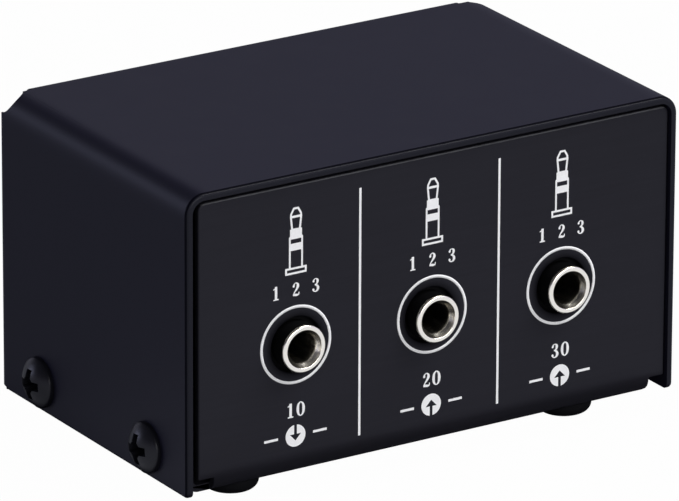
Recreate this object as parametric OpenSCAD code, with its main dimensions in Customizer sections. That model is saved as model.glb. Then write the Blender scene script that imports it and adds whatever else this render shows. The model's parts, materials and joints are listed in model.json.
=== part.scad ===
// Two-into-one audio source selector: a folded sheet-metal box with three
// 3.5 mm jacks on one end and a rotary selector on the other.
// Millimetres. +Z up, the jack panel faces -Y, the control panel faces +Y,
// and the origin is under the middle of the whole outline, on the floor.

/* [Cover] */
// Width of the cover across its wings
case_w = 70; // [68:0.5:80]
// Depth of the cover from its open rim to the face of its lips
case_d = 44.6; // [43:0.2:60]
// Height of the cover from the wings' lower edge to its top
case_h = 38.4; // [38:0.2:46]
// Thickness of the coated sheet
sheet_t = 0.9; // [0.7:0.1:1.1]
// Outer radius of the cover's two long bends
bend_r = 2.5; // [1.8:0.1:2.9]
// Outer radius of the lip bends at the control end
lip_r = 1.9; // [1.4:0.1:2.4]
// Width of the lips that frame the control panel
lip_w = 4; // [3:0.5:5]
// Height of the side lips' lower ends above the wings' lower edge
lip_lift = 0.4; // [0.2:0.1:1.5]
// Radius of the round reliefs where the long bends meet the lips
corner_relief_r = 1.8; // [1.6:0.1:2]
// Distance of those reliefs' axes from the lips' face
corner_relief_in = 1.4; // [1.2:0.1:1.6]
// Distance of the top lip's ends from the long bends
lip_end = 1.5; // [1.4:0.1:3]
// Radius of the wings' lower corners at the open rim
wing_corner_r = 0.8; // [0.3:0.1:2]

/* [Chassis] */
// Depth of the jack panel behind the cover's open rim
panel_recess = 0.45; // [0.2:0.05:1.5]
// Gap between each wing and the edge of the jack panel
side_gap = 0.6; // [0.3:0.1:1]
// Sideways offset of the panels in the cover's opening
panel_shift = 0.4; // [0:0.1:0.4]
// Gap between the cover's top and the panels' upper edges
top_gap = 0.5; // [0.3:0.1:1]
// Gap between the control panel and the lips in front of it
lip_gap = 0.3; // [0.2:0.05:0.6]
// Outer radius of the chassis bends
chassis_r = 1.7; // [1.3:0.1:2.4]
// Radius of the panels' upper corners
panel_corner_r = 1; // [0.6:0.1:2]
// Width of the bend relief at each lower corner of the panels
relief_w = 2.2; // [1.5:0.1:3]
// Height of the bend relief at each lower corner of the panels
relief_h = 1.9; // [1.4:0.1:2.6]
// Height of the side tabs that take the cover screws
tab_h = 8; // [7:0.5:9]
// Gap between the side tabs' ends and the panels
tab_gap = 0.3; // [0.3:0.1:3]
// Length that the right tab is shorter at the jack panel
tab_cut = 1.6; // [0.2:0.1:3]

/* [Cover screws] */
// Distance of the front pair of screws from the open rim
screw_front = 9.1; // [8.5:0.1:12]
// Distance of the rear pair of screws from the lips' face
screw_rear = 10.3; // [9:0.1:13]
// Height of the cover screws above the wings' lower edge
screw_rise = 3.8; // [3.4:0.1:4.4]
// Head diameter of the cover screws
head_d = 6.4; // [5.6:0.1:7]
// Head height of the cover screws
head_h = 2; // [1.6:0.1:2.2]
// Height of the straight edge below the head's dome
head_brim = 0.6; // [0.3:0.1:1]
// Length of the head's cross recess
cross_l = 3.8; // [3:0.1:4.4]
// Width of the cross recess
cross_w = 0.95; // [0.7:0.05:1.2]
// Depth of the cross recess
cross_deep = 1.2; // [0.8:0.1:1.4]
// Shank diameter of the cover screws
shank_d = 3; // [2.5:0.1:3.4]
// Shank length of the cover screws
shank_l = 5; // [4:0.2:5.4]
// Turn of the cross recess where the screws came to rest
cross_turn = 5; // [0:5:85]

/* [Feet] */
// Diameter of the rubber feet
foot_d = 7; // [6.4:0.1:8.4]
// Height of the rubber feet
foot_h = 3.1; // [2.2:0.1:4]
// Radius around the feet's lower edge
foot_edge = 1.2; // [0.4:0.1:1.5]
// Distance between the left and right feet
foot_span = 48.2; // [47:0.2:52]
// Distance of the feet from the ends of the cover
foot_inset = 7.9; // [7.6:0.1:9]

/* [Jacks] */
// Distance between neighbouring jacks
jack_pitch = 19; // [17:0.2:20]
// Sideways shift of the middle jack from the panel's centre line
jack_shift = -0.4; // [-1:0.1:1]
// Height of the jack axes above the wings' lower edge
jack_rise = 16.6; // [15.6:0.2:17]
// Diameter of the holes in the jack panel
jack_hole_d = 7; // [6.6:0.1:7.6]
// Bore that takes the plug
plug_bore_d = 3.6; // [3.55:0.05:3.8]
// Diameter of the bright ring on the nose
nose_d = 6; // [5.6:0.1:6.2]
// Length of the nose in front of the panel
nose_out = 1.9; // [1.4:0.1:3]
// Thickness of the bright ring
ring_t = 0.6; // [0.4:0.1:0.9]
// Radius around the ring's front edge
ring_edge = 0.25; // [0.1:0.05:0.35]
// Diameter of the barrel behind the ring
barrel_d = 5.9; // [5.5:0.1:6]
// Outer diameter of the sleeve inside the barrel
sleeve_d = 4.8; // [4.6:0.1:5]
// Depth that the sleeve reaches behind the panel
nose_seat = 2.4; // [1.6:0.1:3]
// Diameter of the nose's mouth
mouth_d = 4.6; // [4.2:0.1:4.8]
// Depth of the taper from the mouth to the bore
mouth_deep = 0.9; // [0.5:0.1:1.2]
// Width of a jack housing
jack_w = 11; // [10:0.2:12]
// Length of a jack housing behind the panel
jack_len = 13; // [12.6:0.1:14]
// Height of the jack axis above the circuit board
jack_half = 5; // [4.6:0.1:5.6]
// Radius along the upper edges of a jack housing
jack_edge = 1.2; // [0.5:0.1:2]
// Depth of the sleeve contact behind the nose's sleeve
first_leaf = 1.6; // [1.2:0.1:2]
// Distance between the contacts along the plug
leaf_step = 3.1; // [2.6:0.1:3.1]

/* [Circuit board] */
// Width of the circuit board
board_w = 56; // [54:0.5:60]
// Thickness of the circuit board
board_t = 1.6; // [1.2:0.1:2]
// Gap between the board's edges and the panels
board_gap = 1; // [0.5:0.1:2]
// Distance between the left and right board fixings
fix_span = 34; // [32:0.5:36]
// Distance between the front and rear board fixings
fix_depth = 14; // [13:0.5:14.4]
// Across flats of the hexagonal spacers
spacer_af = 5; // [4.6:0.1:5.5]
// Shank diameter of the board and spacer screws
fix_d = 2.5; // [2:0.1:3]
// Head diameter of the board and spacer screws
fix_head_d = 5; // [4.4:0.1:5.4]
// Head height of the board and spacer screws
fix_head_h = 1.3; // [1:0.1:1.6]

/* [Rotary switch] */
// Radius of the switch can
can_r = 8; // [7.8:0.1:8.4]
// Wall of the switch can
can_wall = 0.8; // [0.6:0.1:1]
// Thread diameter of the switch bush
bush_d = 9; // [8.4:0.1:9.4]
// Length of the bush in front of the control panel
bush_out = 4.4; // [3.6:0.1:5]
// Across flats of the switch nut
nut_af = 11; // [10.6:0.1:12]
// Thickness of the switch nut
nut_t = 2; // [1.6:0.1:2.4]
// Thickness of the switch washer
washer_t = 0.6; // [0.4:0.1:0.8]
// Diameter of the selector shaft
shaft_d = 6; // [5.6:0.1:6.2]
// Thickness of the rotor
rotor_t = 3; // [2:0.1:4]
// Turn of the selector between its two stations
throw_deg = 60; // [40:5:90]

/* [Knob] */
// Diameter of the knob
knob_d = 21; // [20:0.5:24]
// Length of the knob
knob_len = 12.5; // [11.5:0.5:16]
// Gap between the knob and the control panel
knob_gap = 0.8; // [0.5:0.1:1.2]
// Number of grip flutes around the knob
flutes = 24; // [16:1:28]
// Width of the pointer line
pointer_w = 1.2; // [0.8:0.1:2]

/* [Hidden] */
$fn = 64;

// Cutting overlap that keeps cut faces apart
eps = 0.5;
// Clearance of a fixed pin, screw or insert in its hole
fit = 0.05;
// Clearance of a panel hole around what passes through it
hole_gap = 0.2;
// Radial clearance of the shaft in its bush
run_fit = 0.04;
// Clearance between turning and fixed pieces
run_gap = 0.3;

// Ends of the whole outline beyond the cover
front_out = nose_out - panel_recess;
rear_out = knob_gap + knob_len - sheet_t - lip_gap;
// Open rim and lip face of the cover
rim_y = -(case_d + rear_out - front_out) / 2;
lip_y = rim_y + case_d;
// Lower edge and top of the cover
base_z = foot_h;
top_z = base_z + case_h;
// Axis of the round reliefs in the cover's rear corners, and its lean from upright
corner_relief_y = lip_y - corner_relief_in;
corner_relief_deg = 39;
// Height that the side lips run up into the long bends
lip_rise = 0.3;
// Faces of the two panels
jack_out_y = rim_y + panel_recess;
jack_in_y = jack_out_y + sheet_t;
ctrl_out_y = lip_y - sheet_t - lip_gap;
ctrl_in_y = ctrl_out_y - sheet_t;
panel_w = case_w - 2 * (sheet_t + side_gap);
panel_h = case_h - sheet_t - top_gap;
panel_side_gap = 0.2;
panel_x = min(panel_shift, side_gap - panel_side_gap);
chassis_d = ctrl_out_y - jack_out_y;
floor_z = base_z + sheet_t;

// Jack columns
jack_xs = [for (i = [-1:1]) jack_shift + i * jack_pitch];
jack_z = base_z + jack_rise;
jack_back_y = jack_in_y + jack_len;
body_bore_gap = 0.3;
body_bore_r = plug_bore_d / 2 + body_bore_gap;
back_wall = 0.9;
leaf_t = 0.3;
leaf_w = 1.4;
leaf_top = 1.2;
leaf_gap = 0.05;
pin_w = 0.7;
pin_tail = 0.8;
pin_hole_r = 0.5;
leaf_x = plug_bore_d / 2 + leaf_gap;
// Contacts of one jack, each as a side and a depth behind the panel: sleeve, ring, tip
leaves = [for (i = [0:2]) [1 - 2 * (i % 2), nose_seat + first_leaf + i * leaf_step]];

// Circuit board
board_top_z = jack_z - jack_half;
board_z = board_top_z - board_t;
board_y = jack_in_y + board_gap;
board_d = ctrl_in_y - board_gap - board_y;
spacer_h = board_z - floor_z;
fix_brim = 0.4;
fix_cross_l = 2.8;
fix_cross_w = 0.7;
fix_cross_deep = 0.8;
fix_bite = 3.4;
fix_clear = 1;
fix_front_y = jack_back_y + fix_head_d / 2 + fix_clear;
fix_ys = [fix_front_y, fix_front_y + fix_depth];

// Rotary switch, from the control panel inwards
axis_z = board_top_z + can_r + run_gap;
can_front = 1;
flange_t = 1;
flange_over = 1.1;
wiper_t = 0.3;
wafer_t = 1.6;
bush_in_y = ctrl_in_y - can_front - flange_t;
rotor_y1 = bush_in_y - run_gap;
rotor_y0 = rotor_y1 - rotor_t;
wafer_y1 = rotor_y0 - wiper_t - run_gap;
wafer_y0 = wafer_y1 - wafer_t;
cavity_r = can_r - can_wall;
stop_band = 0.9;
rotor_r = cavity_r - stop_band - run_gap;
lug_deg = 16;
stop_gap_deg = 1.5;
free_deg = throw_deg / 2 + lug_deg / 2 + stop_gap_deg;
key_r = 1.1;
key_clear = 0.9;
key_offset = bush_d / 2 + key_r + key_clear;
washer_over = 0.8;
wiper_edge = 0.6;
wiper_deg = 75;
term_t = 0.4;
term_w = 0.8;
term_pitch = 2;
term_rise = 3.2;
terms = 6;

// Shaft, clip and knob
shaft_r = shaft_d / 2;
flat_deep = 1;
flat_z = flat_deep - shaft_r;
bush_end_y = ctrl_out_y + bush_out;
clip_t = 0.6;
clip_over = 1.3;
clip_mouth = 4.2;
groove = 0.6;
clip_y = bush_end_y + run_gap;
knob_y0 = ctrl_out_y + knob_gap;
knob_y1 = knob_y0 + knob_len;
knob_r = knob_d / 2;
knob_cap = 2.4;
shaft_end_y = knob_y1 - knob_cap;
hollow_gap = 0.9;
hollow_r = nut_af / sqrt(3) + hollow_gap;
hollow_y1 = clip_y + clip_t + run_gap;
knob_edge = 1;
flute_r = 1;
flute_bite = 0.5;
pointer_t = 0.6;
pointer_in = 2.5;
grub_d = 3;
grub_l = 4;
grub_af = 1.5;
grub_y = (hollow_y1 + shaft_end_y) / 2;

// Extrudes a profile drawn in x and z along y
module along_y(y, len) {
    translate([0, y + len, 0]) rotate([90, 0, 0]) linear_extrude(len) children();
}

// Extrudes a profile drawn in y and z along x
module along_x(x, len) {
    translate([x, 0, 0]) rotate([90, 0, 90]) linear_extrude(len) children();
}

// Round bar along y
module bar_y(x, y, z, r, len) {
    translate([x, y + len, z]) rotate([90, 0, 0]) cylinder(r = r, h = len);
}

// Turns a profile drawn in radius and depth about an axis along y
module turned_y(x, y, z) {
    translate([x, y, z]) rotate([-90, 0, 0]) rotate_extrude() children();
}

// The same over part of a turn, between two angles from +Z towards +X
module swept_y(y, from_deg, to_deg) {
    translate([0, y, 0]) rotate([-90, 0, 0]) rotate([0, 0, from_deg - 90])
        rotate_extrude(angle = to_deg - from_deg) children();
}

// Stands on y = 0 with its two upper corners rounded
module arch(w, h, r) {
    translate([-w / 2, 0]) square([w, h - r]);
    translate([r - w / 2, 0]) square([w - 2 * r, h]);
    for (s = [-1, 1]) translate([s * (w / 2 - r), h - r]) circle(r);
}

// Sheet folded down on both sides
module sheet_arch(w, h, r) {
    difference() {
        arch(w, h, r);
        translate([0, -eps]) arch(w - 2 * sheet_t, h - sheet_t + eps, r - sheet_t);
    }
}

// Sheet folded up on both sides
module sheet_trough(w, h, r) {
    translate([0, h]) mirror([0, 1]) sheet_arch(w, h, r);
}

// Section of a lip, from its bend to its free edge, below and behind the outer corner
module lip_section() {
    translate([-lip_r, -lip_r]) intersection() {
        difference() {
            circle(lip_r);
            circle(lip_r - sheet_t);
        }
        square(lip_r);
    }
    translate([-sheet_t, -lip_w]) square([sheet_t, lip_w - lip_r]);
}

// Domed cross-recess screw, head on z = 0 upwards: head, its brim, cross recess and shank
module screw(hd, hh, brim, cl, cw, cd, sd, sl) {
    rise = hh - brim;
    dome_r = (pow(hd / 2, 2) + rise * rise) / (2 * rise);
    difference() {
        union() {
            rotate_extrude() {
                square([hd / 2, brim]);
                intersection() {
                    translate([0, hh - dome_r]) circle(dome_r);
                    square([hd / 2, hh]);
                }
            }
            translate([0, 0, -sl]) cylinder(d = sd, h = sl);
        }
        for (a = [0, 90]) rotate(a + cross_turn)
            translate([-cl / 2, -cw / 2, hh - cd]) cube([cl, cw, cd + eps]);
        translate([0, 0, hh - cd - cw / 2]) cylinder(r1 = cw / 4, r2 = cw, h = cw);
    }
}

// Places of the four cover screws
module at_cover_screws() {
    for (s = [-1, 1], y = [rim_y + screw_front, lip_y - screw_rear])
        translate([s * case_w / 2, y, base_z + screw_rise]) rotate([0, s * 90, 0]) children();
}

// Places of the four board fixings at a height
module at_fixings(z) {
    for (s = [-1, 1], y = fix_ys) translate([s * fix_span / 2, y, z]) children();
}

// Folded top and wings with inward lips at the control end
module cover() {
    color("#2c2c36") difference() {
        union() {
            along_y(rim_y, case_d - lip_r) translate([0, base_z]) sheet_arch(case_w, case_h, bend_r);
            along_x(bend_r + lip_end - case_w / 2, case_w - 2 * (bend_r + lip_end)) translate([lip_y, top_z])
                lip_section();
            for (s = [0, 1]) mirror([s, 0, 0]) translate([case_w / 2, lip_y, base_z + lip_lift])
                linear_extrude(case_h - bend_r + lip_rise - lip_lift) mirror([1, -1]) lip_section();
        }
        along_x(-case_w / 2 - eps, case_w + 2 * eps) translate([rim_y, base_z]) difference() {
            translate([-eps, -eps]) square(wing_corner_r + eps);
            translate([wing_corner_r, wing_corner_r]) circle(wing_corner_r);
        }
        for (s = [-1, 1]) translate([s * (case_w / 2 - bend_r), corner_relief_y, top_z - bend_r])
            rotate([0, s * corner_relief_deg, 0]) cylinder(r = corner_relief_r, h = bend_r + eps);
        at_cover_screws() translate([0, 0, -sheet_t - eps])
            cylinder(d = shank_d + 2 * hole_gap, h = sheet_t + 2 * eps);
    }
}

// Outline of the two panels, with bend reliefs at the lower corners
module panel_outline() {
    difference() {
        arch(panel_w, panel_h, panel_corner_r);
        for (s = [0, 1]) mirror([s, 0]) translate([panel_w / 2 - relief_w, -eps])
            square([relief_w + eps, relief_h + eps]);
    }
}

// Floor, jack panel, control panel and the side tabs for the cover screws
module chassis() {
    color("#26252b") difference() {
        union() {
            translate([panel_x, 0, 0]) intersection() {
                along_x(-panel_w / 2, panel_w) translate([(jack_out_y + ctrl_out_y) / 2, base_z])
                    sheet_trough(chassis_d, panel_h, chassis_r);
                along_y(rim_y, case_d) translate([0, base_z]) panel_outline();
            }
            along_y(jack_in_y + tab_gap, ctrl_in_y - jack_in_y - 2 * tab_gap) translate([0, base_z])
                sheet_trough(case_w - 2 * sheet_t, tab_h, chassis_r);
        }
        for (x = jack_xs) bar_y(x, jack_out_y - eps, jack_z, jack_hole_d / 2, sheet_t + 2 * eps);
        bar_y(0, ctrl_in_y - eps, axis_z, bush_d / 2 + hole_gap, sheet_t + 2 * eps);
        bar_y(0, ctrl_in_y - eps, axis_z - key_offset, key_r + hole_gap, sheet_t + 2 * eps);
        at_cover_screws() translate([0, 0, -2 * sheet_t - eps])
            cylinder(d = shank_d + 2 * fit, h = sheet_t + 2 * eps);
        at_fixings(base_z - eps) cylinder(d = fix_d + 2 * hole_gap, h = sheet_t + 2 * eps);
        translate([panel_x + panel_w / 2 - relief_w, jack_in_y, base_z - eps])
            cube([case_w, tab_gap + tab_cut, tab_h + 2 * eps]);
    }
}

module cover_screws() {
    color("#141418") at_cover_screws()
        screw(head_d, head_h, head_brim, cross_l, cross_w, cross_deep, shank_d, shank_l);
}

// Round feet with a soft lower edge
module feet() {
    color("#0e0e11")
        for (s = [-1, 1], y = [rim_y + foot_inset, lip_y - foot_inset]) translate([s * foot_span / 2, y, 0])
            rotate_extrude() {
                translate([0, foot_edge]) square([foot_d / 2, foot_h - foot_edge]);
                square([foot_d / 2 - foot_edge, foot_h]);
                translate([foot_d / 2 - foot_edge, foot_edge]) intersection() {
                    circle(foot_edge);
                    translate([0, -foot_edge]) square(foot_edge);
                }
            }
}

// Circuit board with its fixing holes and pin holes
module board() {
    color("#1f5a34") difference() {
        translate([-board_w / 2, board_y, board_z]) cube([board_w, board_d, board_t]);
        at_fixings(board_z - eps) cylinder(d = fix_d + 2 * hole_gap, h = board_t + 2 * eps);
        for (x = jack_xs, leaf = leaves)
            translate([x + leaf[0] * (leaf_x + leaf_t / 2), jack_in_y + leaf[1], board_z - eps])
                cylinder(r = pin_hole_r, h = board_t + 2 * eps);
        for (i = [0:terms - 1])
            translate([(i - (terms - 1) / 2) * term_pitch, wafer_y0 - term_t / 2, board_z - eps])
                cylinder(r = pin_hole_r, h = board_t + 2 * eps);
    }
}

// Hexagonal spacers between the floor and the board
module board_spacers() {
    color("#c8a860") at_fixings(floor_z) difference() {
        cylinder(d = spacer_af / cos(30), h = spacer_h, $fn = 6);
        translate([0, 0, -eps]) cylinder(d = fix_d + 2 * fit, h = spacer_h + 2 * eps);
    }
}

// Small screw that clamps a plate of a given thickness to a spacer
module fix_screw(plate_t) {
    screw(fix_head_d, fix_head_h, fix_brim, fix_cross_l, fix_cross_w, fix_cross_deep, fix_d, plate_t + fix_bite);
}

module board_screws() {
    color("#b9bbc0") at_fixings(board_top_z) fix_screw(board_t);
}

module spacer_screws() {
    color("#b9bbc0") at_fixings(base_z) rotate([180, 0, 0]) fix_screw(sheet_t);
}

// Moulded jack body: block, barrel through the panel, plug bore and slots for the contact leaves
module jack_housing(x) {
    slot_h = jack_half + leaf_top + fit;
    barrel_y = jack_out_y - nose_out + ring_t;
    color("#17171a") difference() {
        union() {
            along_y(jack_in_y, jack_len) translate([x, jack_z - jack_half])
                arch(jack_w, 2 * jack_half, jack_edge);
            bar_y(x, barrel_y, jack_z, barrel_d / 2, jack_in_y + eps - barrel_y);
        }
        bar_y(x, barrel_y - eps, jack_z, sleeve_d / 2 + fit, jack_in_y + nose_seat - barrel_y + eps);
        bar_y(x, jack_in_y, jack_z, body_bore_r, jack_len - back_wall);
        for (leaf = leaves)
            translate([x + leaf[0] * (leaf_x + leaf_t / 2), jack_in_y + leaf[1], jack_z - jack_half + slot_h / 2])
                cube([leaf_t + 2 * fit, leaf_w + 2 * fit, slot_h + eps], center = true);
    }
}

// Turned sleeve with a bright ring on the barrel's end and a tapered mouth
module jack_nose(x) {
    len = nose_out + sheet_t + nose_seat;
    bore_r = plug_bore_d / 2;
    mouth_r = mouth_d / 2;
    edge_r = nose_d / 2 - ring_edge;
    color("#cfccc4") turned_y(x, jack_out_y - nose_out, jack_z) difference() {
        union() {
            square([sleeve_d / 2, len]);
            square([edge_r, ring_t]);
            translate([0, ring_edge]) square([nose_d / 2, ring_t - ring_edge]);
            translate([edge_r, ring_edge]) circle(ring_edge);
        }
        translate([0, -eps]) square([bore_r, len + 2 * eps]);
        polygon([[0, 0], [mouth_r, 0], [bore_r, mouth_deep], [0, mouth_deep]]);
    }
}

// Sleeve, ring and tip leaves with their pins through the board
module jack_contacts(x) {
    pin_l = board_t + pin_tail;
    color("#b9974e") for (leaf = leaves)
        translate([x + leaf[0] * (leaf_x + leaf_t / 2), jack_in_y + leaf[1], jack_z - jack_half]) {
            translate([-leaf_t / 2, -leaf_w / 2, 0]) cube([leaf_t, leaf_w, jack_half + leaf_top]);
            translate([-leaf_t / 2, -pin_w / 2, -pin_l]) cube([leaf_t, pin_w, pin_l]);
        }
}

module jack_out_housing() { jack_housing(jack_xs[0]); }
module jack_out_nose() { jack_nose(jack_xs[0]); }
module jack_out_contacts() { jack_contacts(jack_xs[0]); }
module jack_in_1_housing() { jack_housing(jack_xs[1]); }
module jack_in_1_nose() { jack_nose(jack_xs[1]); }
module jack_in_1_contacts() { jack_contacts(jack_xs[1]); }
module jack_in_2_housing() { jack_housing(jack_xs[2]); }
module jack_in_2_nose() { jack_nose(jack_xs[2]); }
module jack_in_2_contacts() { jack_contacts(jack_xs[2]); }

// Can with a locating key and the two stops for the rotor's lug
module switch_can() {
    color("#9a9ca2") translate([0, 0, axis_z]) {
        difference() {
            bar_y(0, wafer_y1, 0, can_r, ctrl_in_y - wafer_y1);
            bar_y(0, wafer_y1 - eps, 0, cavity_r, ctrl_in_y - can_front - wafer_y1 + eps);
            bar_y(0, ctrl_in_y - can_front - eps, 0, bush_d / 2 + fit, can_front + 2 * eps);
        }
        swept_y(rotor_y0, free_deg, 360 - free_deg)
            translate([cavity_r - stop_band, 0]) square([stop_band + can_wall / 2, ctrl_in_y - can_front - rotor_y0]);
        bar_y(0, ctrl_in_y - can_front / 2, -key_offset, key_r, can_front / 2 + sheet_t);
    }
}

// Threaded bush with a flange behind the can's front wall
module switch_bush() {
    bore_r = shaft_r + run_fit;
    color("#c9c9c6") turned_y(0, bush_in_y, axis_z) {
        translate([bore_r, 0]) square([bush_d / 2 + flange_over - bore_r, flange_t]);
        translate([bore_r, 0]) square([bush_d / 2 - bore_r, bush_end_y - bush_in_y]);
    }
}

module switch_washer() {
    color("#c9c9c6") turned_y(0, ctrl_out_y, axis_z)
        translate([bush_d / 2 + fit, 0]) square([nut_af / 2 + washer_over - bush_d / 2 - fit, washer_t]);
}

module switch_nut() {
    color("#c9c9c6") translate([0, ctrl_out_y + washer_t + nut_t, axis_z]) rotate([90, 0, 0]) difference() {
        cylinder(d = nut_af / cos(30), h = nut_t, $fn = 6);
        translate([0, 0, -eps]) cylinder(d = bush_d + 2 * fit, h = nut_t + 2 * eps);
    }
}

// Insulating disc that closes the can
module switch_wafer() {
    color("#6b4a2a") bar_y(0, wafer_y0, axis_z, can_r, wafer_t);
}

// Row of strips from the wafer down through the board
module switch_terminals() {
    bottom_z = board_z - pin_tail;
    color("#b9974e") for (i = [0:terms - 1])
        translate([(i - (terms - 1) / 2) * term_pitch - term_w / 2, wafer_y0 - term_t, bottom_z])
            cube([term_w, term_t, axis_z - can_r + term_rise - bottom_z]);
}

// Turning pieces, drawn with the pointer upwards and set to the first station
module at_station() {
    translate([0, 0, axis_z]) rotate([0, throw_deg / 2, 0]) children();
}

// Shaft with a clip groove and a flat for the knob
module selector_shaft() {
    color("#c4c4c2") at_station() difference() {
        bar_y(0, rotor_y0, 0, shaft_r, shaft_end_y - rotor_y0);
        translate([-shaft_r, clip_y + clip_t + run_gap, flat_z - shaft_r])
            cube([2 * shaft_r, shaft_end_y, shaft_r]);
        turned_y(0, clip_y - fit, 0)
            translate([shaft_r - groove, 0]) square([groove + eps, clip_t + 2 * fit]);
    }
}

// Rotor disc with the lug that meets the can's stops
module selector_rotor() {
    color("#2e2d2b") at_station() {
        turned_y(0, rotor_y0, 0) translate([shaft_r + fit, 0]) square([rotor_r - shaft_r - fit, rotor_t]);
        swept_y(rotor_y0, -lug_deg / 2, lug_deg / 2)
            translate([rotor_r - stop_band, 0]) square([2 * stop_band, rotor_t]);
    }
}

// Bridging contact on the rotor's back
module selector_wiper() {
    color("#b9974e") at_station() for (a = [0, 180])
        swept_y(rotor_y0 - wiper_t, a - wiper_deg / 2, a + wiper_deg / 2)
            translate([shaft_r + wiper_edge, 0]) square([rotor_r - shaft_r - 2 * wiper_edge, wiper_t]);
}

// Open ring in the shaft's groove
module selector_clip() {
    color("#8f9094") at_station() difference() {
        turned_y(0, clip_y, 0)
            translate([shaft_r - groove + fit, 0]) square([groove + clip_over - fit, clip_t]);
        translate([-clip_mouth / 2, clip_y - eps, 0]) cube([clip_mouth, clip_t + 2 * eps, 2 * shaft_r]);
    }
}

// Outside of the knob without its flutes
module knob_form() {
    turned_y(0, knob_y0, 0) {
        square([knob_r, knob_len - knob_edge]);
        square([knob_r - knob_edge, knob_len]);
        translate([knob_r - knob_edge, knob_len - knob_edge]) circle(knob_edge);
    }
}

// Fluted knob: hollow over the nut, flatted bore, pointer slot and grub-screw hole
module knob() {
    color("#1b1b1f") at_station() difference() {
        knob_form();
        bar_y(0, knob_y0 - eps, 0, hollow_r, hollow_y1 - knob_y0 + eps);
        difference() {
            bar_y(0, knob_y0, 0, shaft_r + fit, shaft_end_y + fit - knob_y0);
            translate([-knob_r, hollow_y1, flat_z - fit - knob_r]) cube([knob_d, knob_len, knob_r]);
        }
        for (i = [0:flutes - 1]) rotate([0, (i + 0.5) * 360 / flutes, 0])
            bar_y(0, knob_y0 - eps, knob_r + flute_r - flute_bite, flute_r, knob_len - 2 * knob_edge);
        translate([-pointer_w / 2 - fit, knob_y1 - pointer_t - fit, pointer_in - fit])
            cube([pointer_w + 2 * fit, pointer_t + eps, knob_r]);
        translate([0, grub_y, -knob_r - eps]) cylinder(d = grub_d + 2 * fit, h = knob_r + eps);
    }
}

// Line set into the knob's face and carried over its edge
module knob_pointer() {
    color("#e6e6e2") at_station() intersection() {
        knob_form();
        translate([-pointer_w / 2, knob_y1 - pointer_t, pointer_in]) cube([pointer_w, pointer_t, knob_r]);
    }
}

// Socket grub screw on the shaft's flat
module knob_set_screw() {
    color("#3a3a3d") at_station() translate([0, grub_y, flat_z - grub_l]) difference() {
        cylinder(d = grub_d, h = grub_l);
        translate([0, 0, -eps]) cylinder(d = grub_af / cos(30), h = grub_l / 2 + eps, $fn = 6);
    }
}

cover();
chassis();
cover_screws();
feet();
board();
board_spacers();
board_screws();
spacer_screws();
jack_out_housing();
jack_out_nose();
jack_out_contacts();
jack_in_1_housing();
jack_in_1_nose();
jack_in_1_contacts();
jack_in_2_housing();
jack_in_2_nose();
jack_in_2_contacts();
switch_can();
switch_bush();
switch_washer();
switch_nut();
switch_wafer();
switch_terminals();
selector_shaft();
selector_rotor();
selector_wiper();
selector_clip();
knob();
knob_pointer();
knob_set_screw();
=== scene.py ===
"""Dress of a small audio source selector: a folded black box with three jacks and a rotary knob."""
import json
import logging
import math
from dataclasses import dataclass, field, replace
from enum import Enum
from functools import cache
from typing import Callable, Optional, Sequence

import bmesh
import bpy
import numpy as np
from mathutils import Matrix, Vector
from mathutils.bvhtree import BVHTree


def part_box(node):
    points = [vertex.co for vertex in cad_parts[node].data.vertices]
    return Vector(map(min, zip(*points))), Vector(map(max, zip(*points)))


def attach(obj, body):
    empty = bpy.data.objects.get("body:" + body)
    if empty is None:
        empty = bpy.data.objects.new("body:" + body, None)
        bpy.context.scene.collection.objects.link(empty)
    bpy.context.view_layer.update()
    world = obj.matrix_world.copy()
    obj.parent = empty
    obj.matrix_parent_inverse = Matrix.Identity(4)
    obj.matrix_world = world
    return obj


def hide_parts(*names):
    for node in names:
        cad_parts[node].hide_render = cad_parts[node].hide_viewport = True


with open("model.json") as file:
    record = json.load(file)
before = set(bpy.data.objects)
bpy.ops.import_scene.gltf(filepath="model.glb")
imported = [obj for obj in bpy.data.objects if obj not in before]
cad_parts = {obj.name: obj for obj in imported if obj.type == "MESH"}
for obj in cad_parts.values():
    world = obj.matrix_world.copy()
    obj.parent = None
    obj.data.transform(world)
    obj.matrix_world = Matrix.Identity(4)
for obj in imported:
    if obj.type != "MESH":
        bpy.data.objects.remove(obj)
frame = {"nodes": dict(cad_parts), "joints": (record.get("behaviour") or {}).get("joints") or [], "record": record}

LOG = logging.getLogger("selector_box")
MM = 0.001
TINY = 1e-9
CASE = "case"
SELECTOR = "selector"
JACKS = ("jack_out", "jack_in_1", "jack_in_2")
Point = tuple[float, float]
Spot = tuple[float, float, float]
Color = Spot
PenPoint = Spot
Plane = tuple[Spot, Spot]
Piece = bpy.types.Object
Node = bpy.types.Node
Outputs = bpy.types.NodeOutputs
Socket = bpy.types.NodeSocket
Tree = bpy.types.NodeTree


class Side(Enum):
    """Panel that carries a print, as the sign of y that it faces."""

    JACK_END = -1
    KNOB_END = 1


class Grain(Enum):
    """Kind of fine surface texture on a finish."""

    SPECKLE = "speckle"
    LINES = "drawn_lines"


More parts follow.
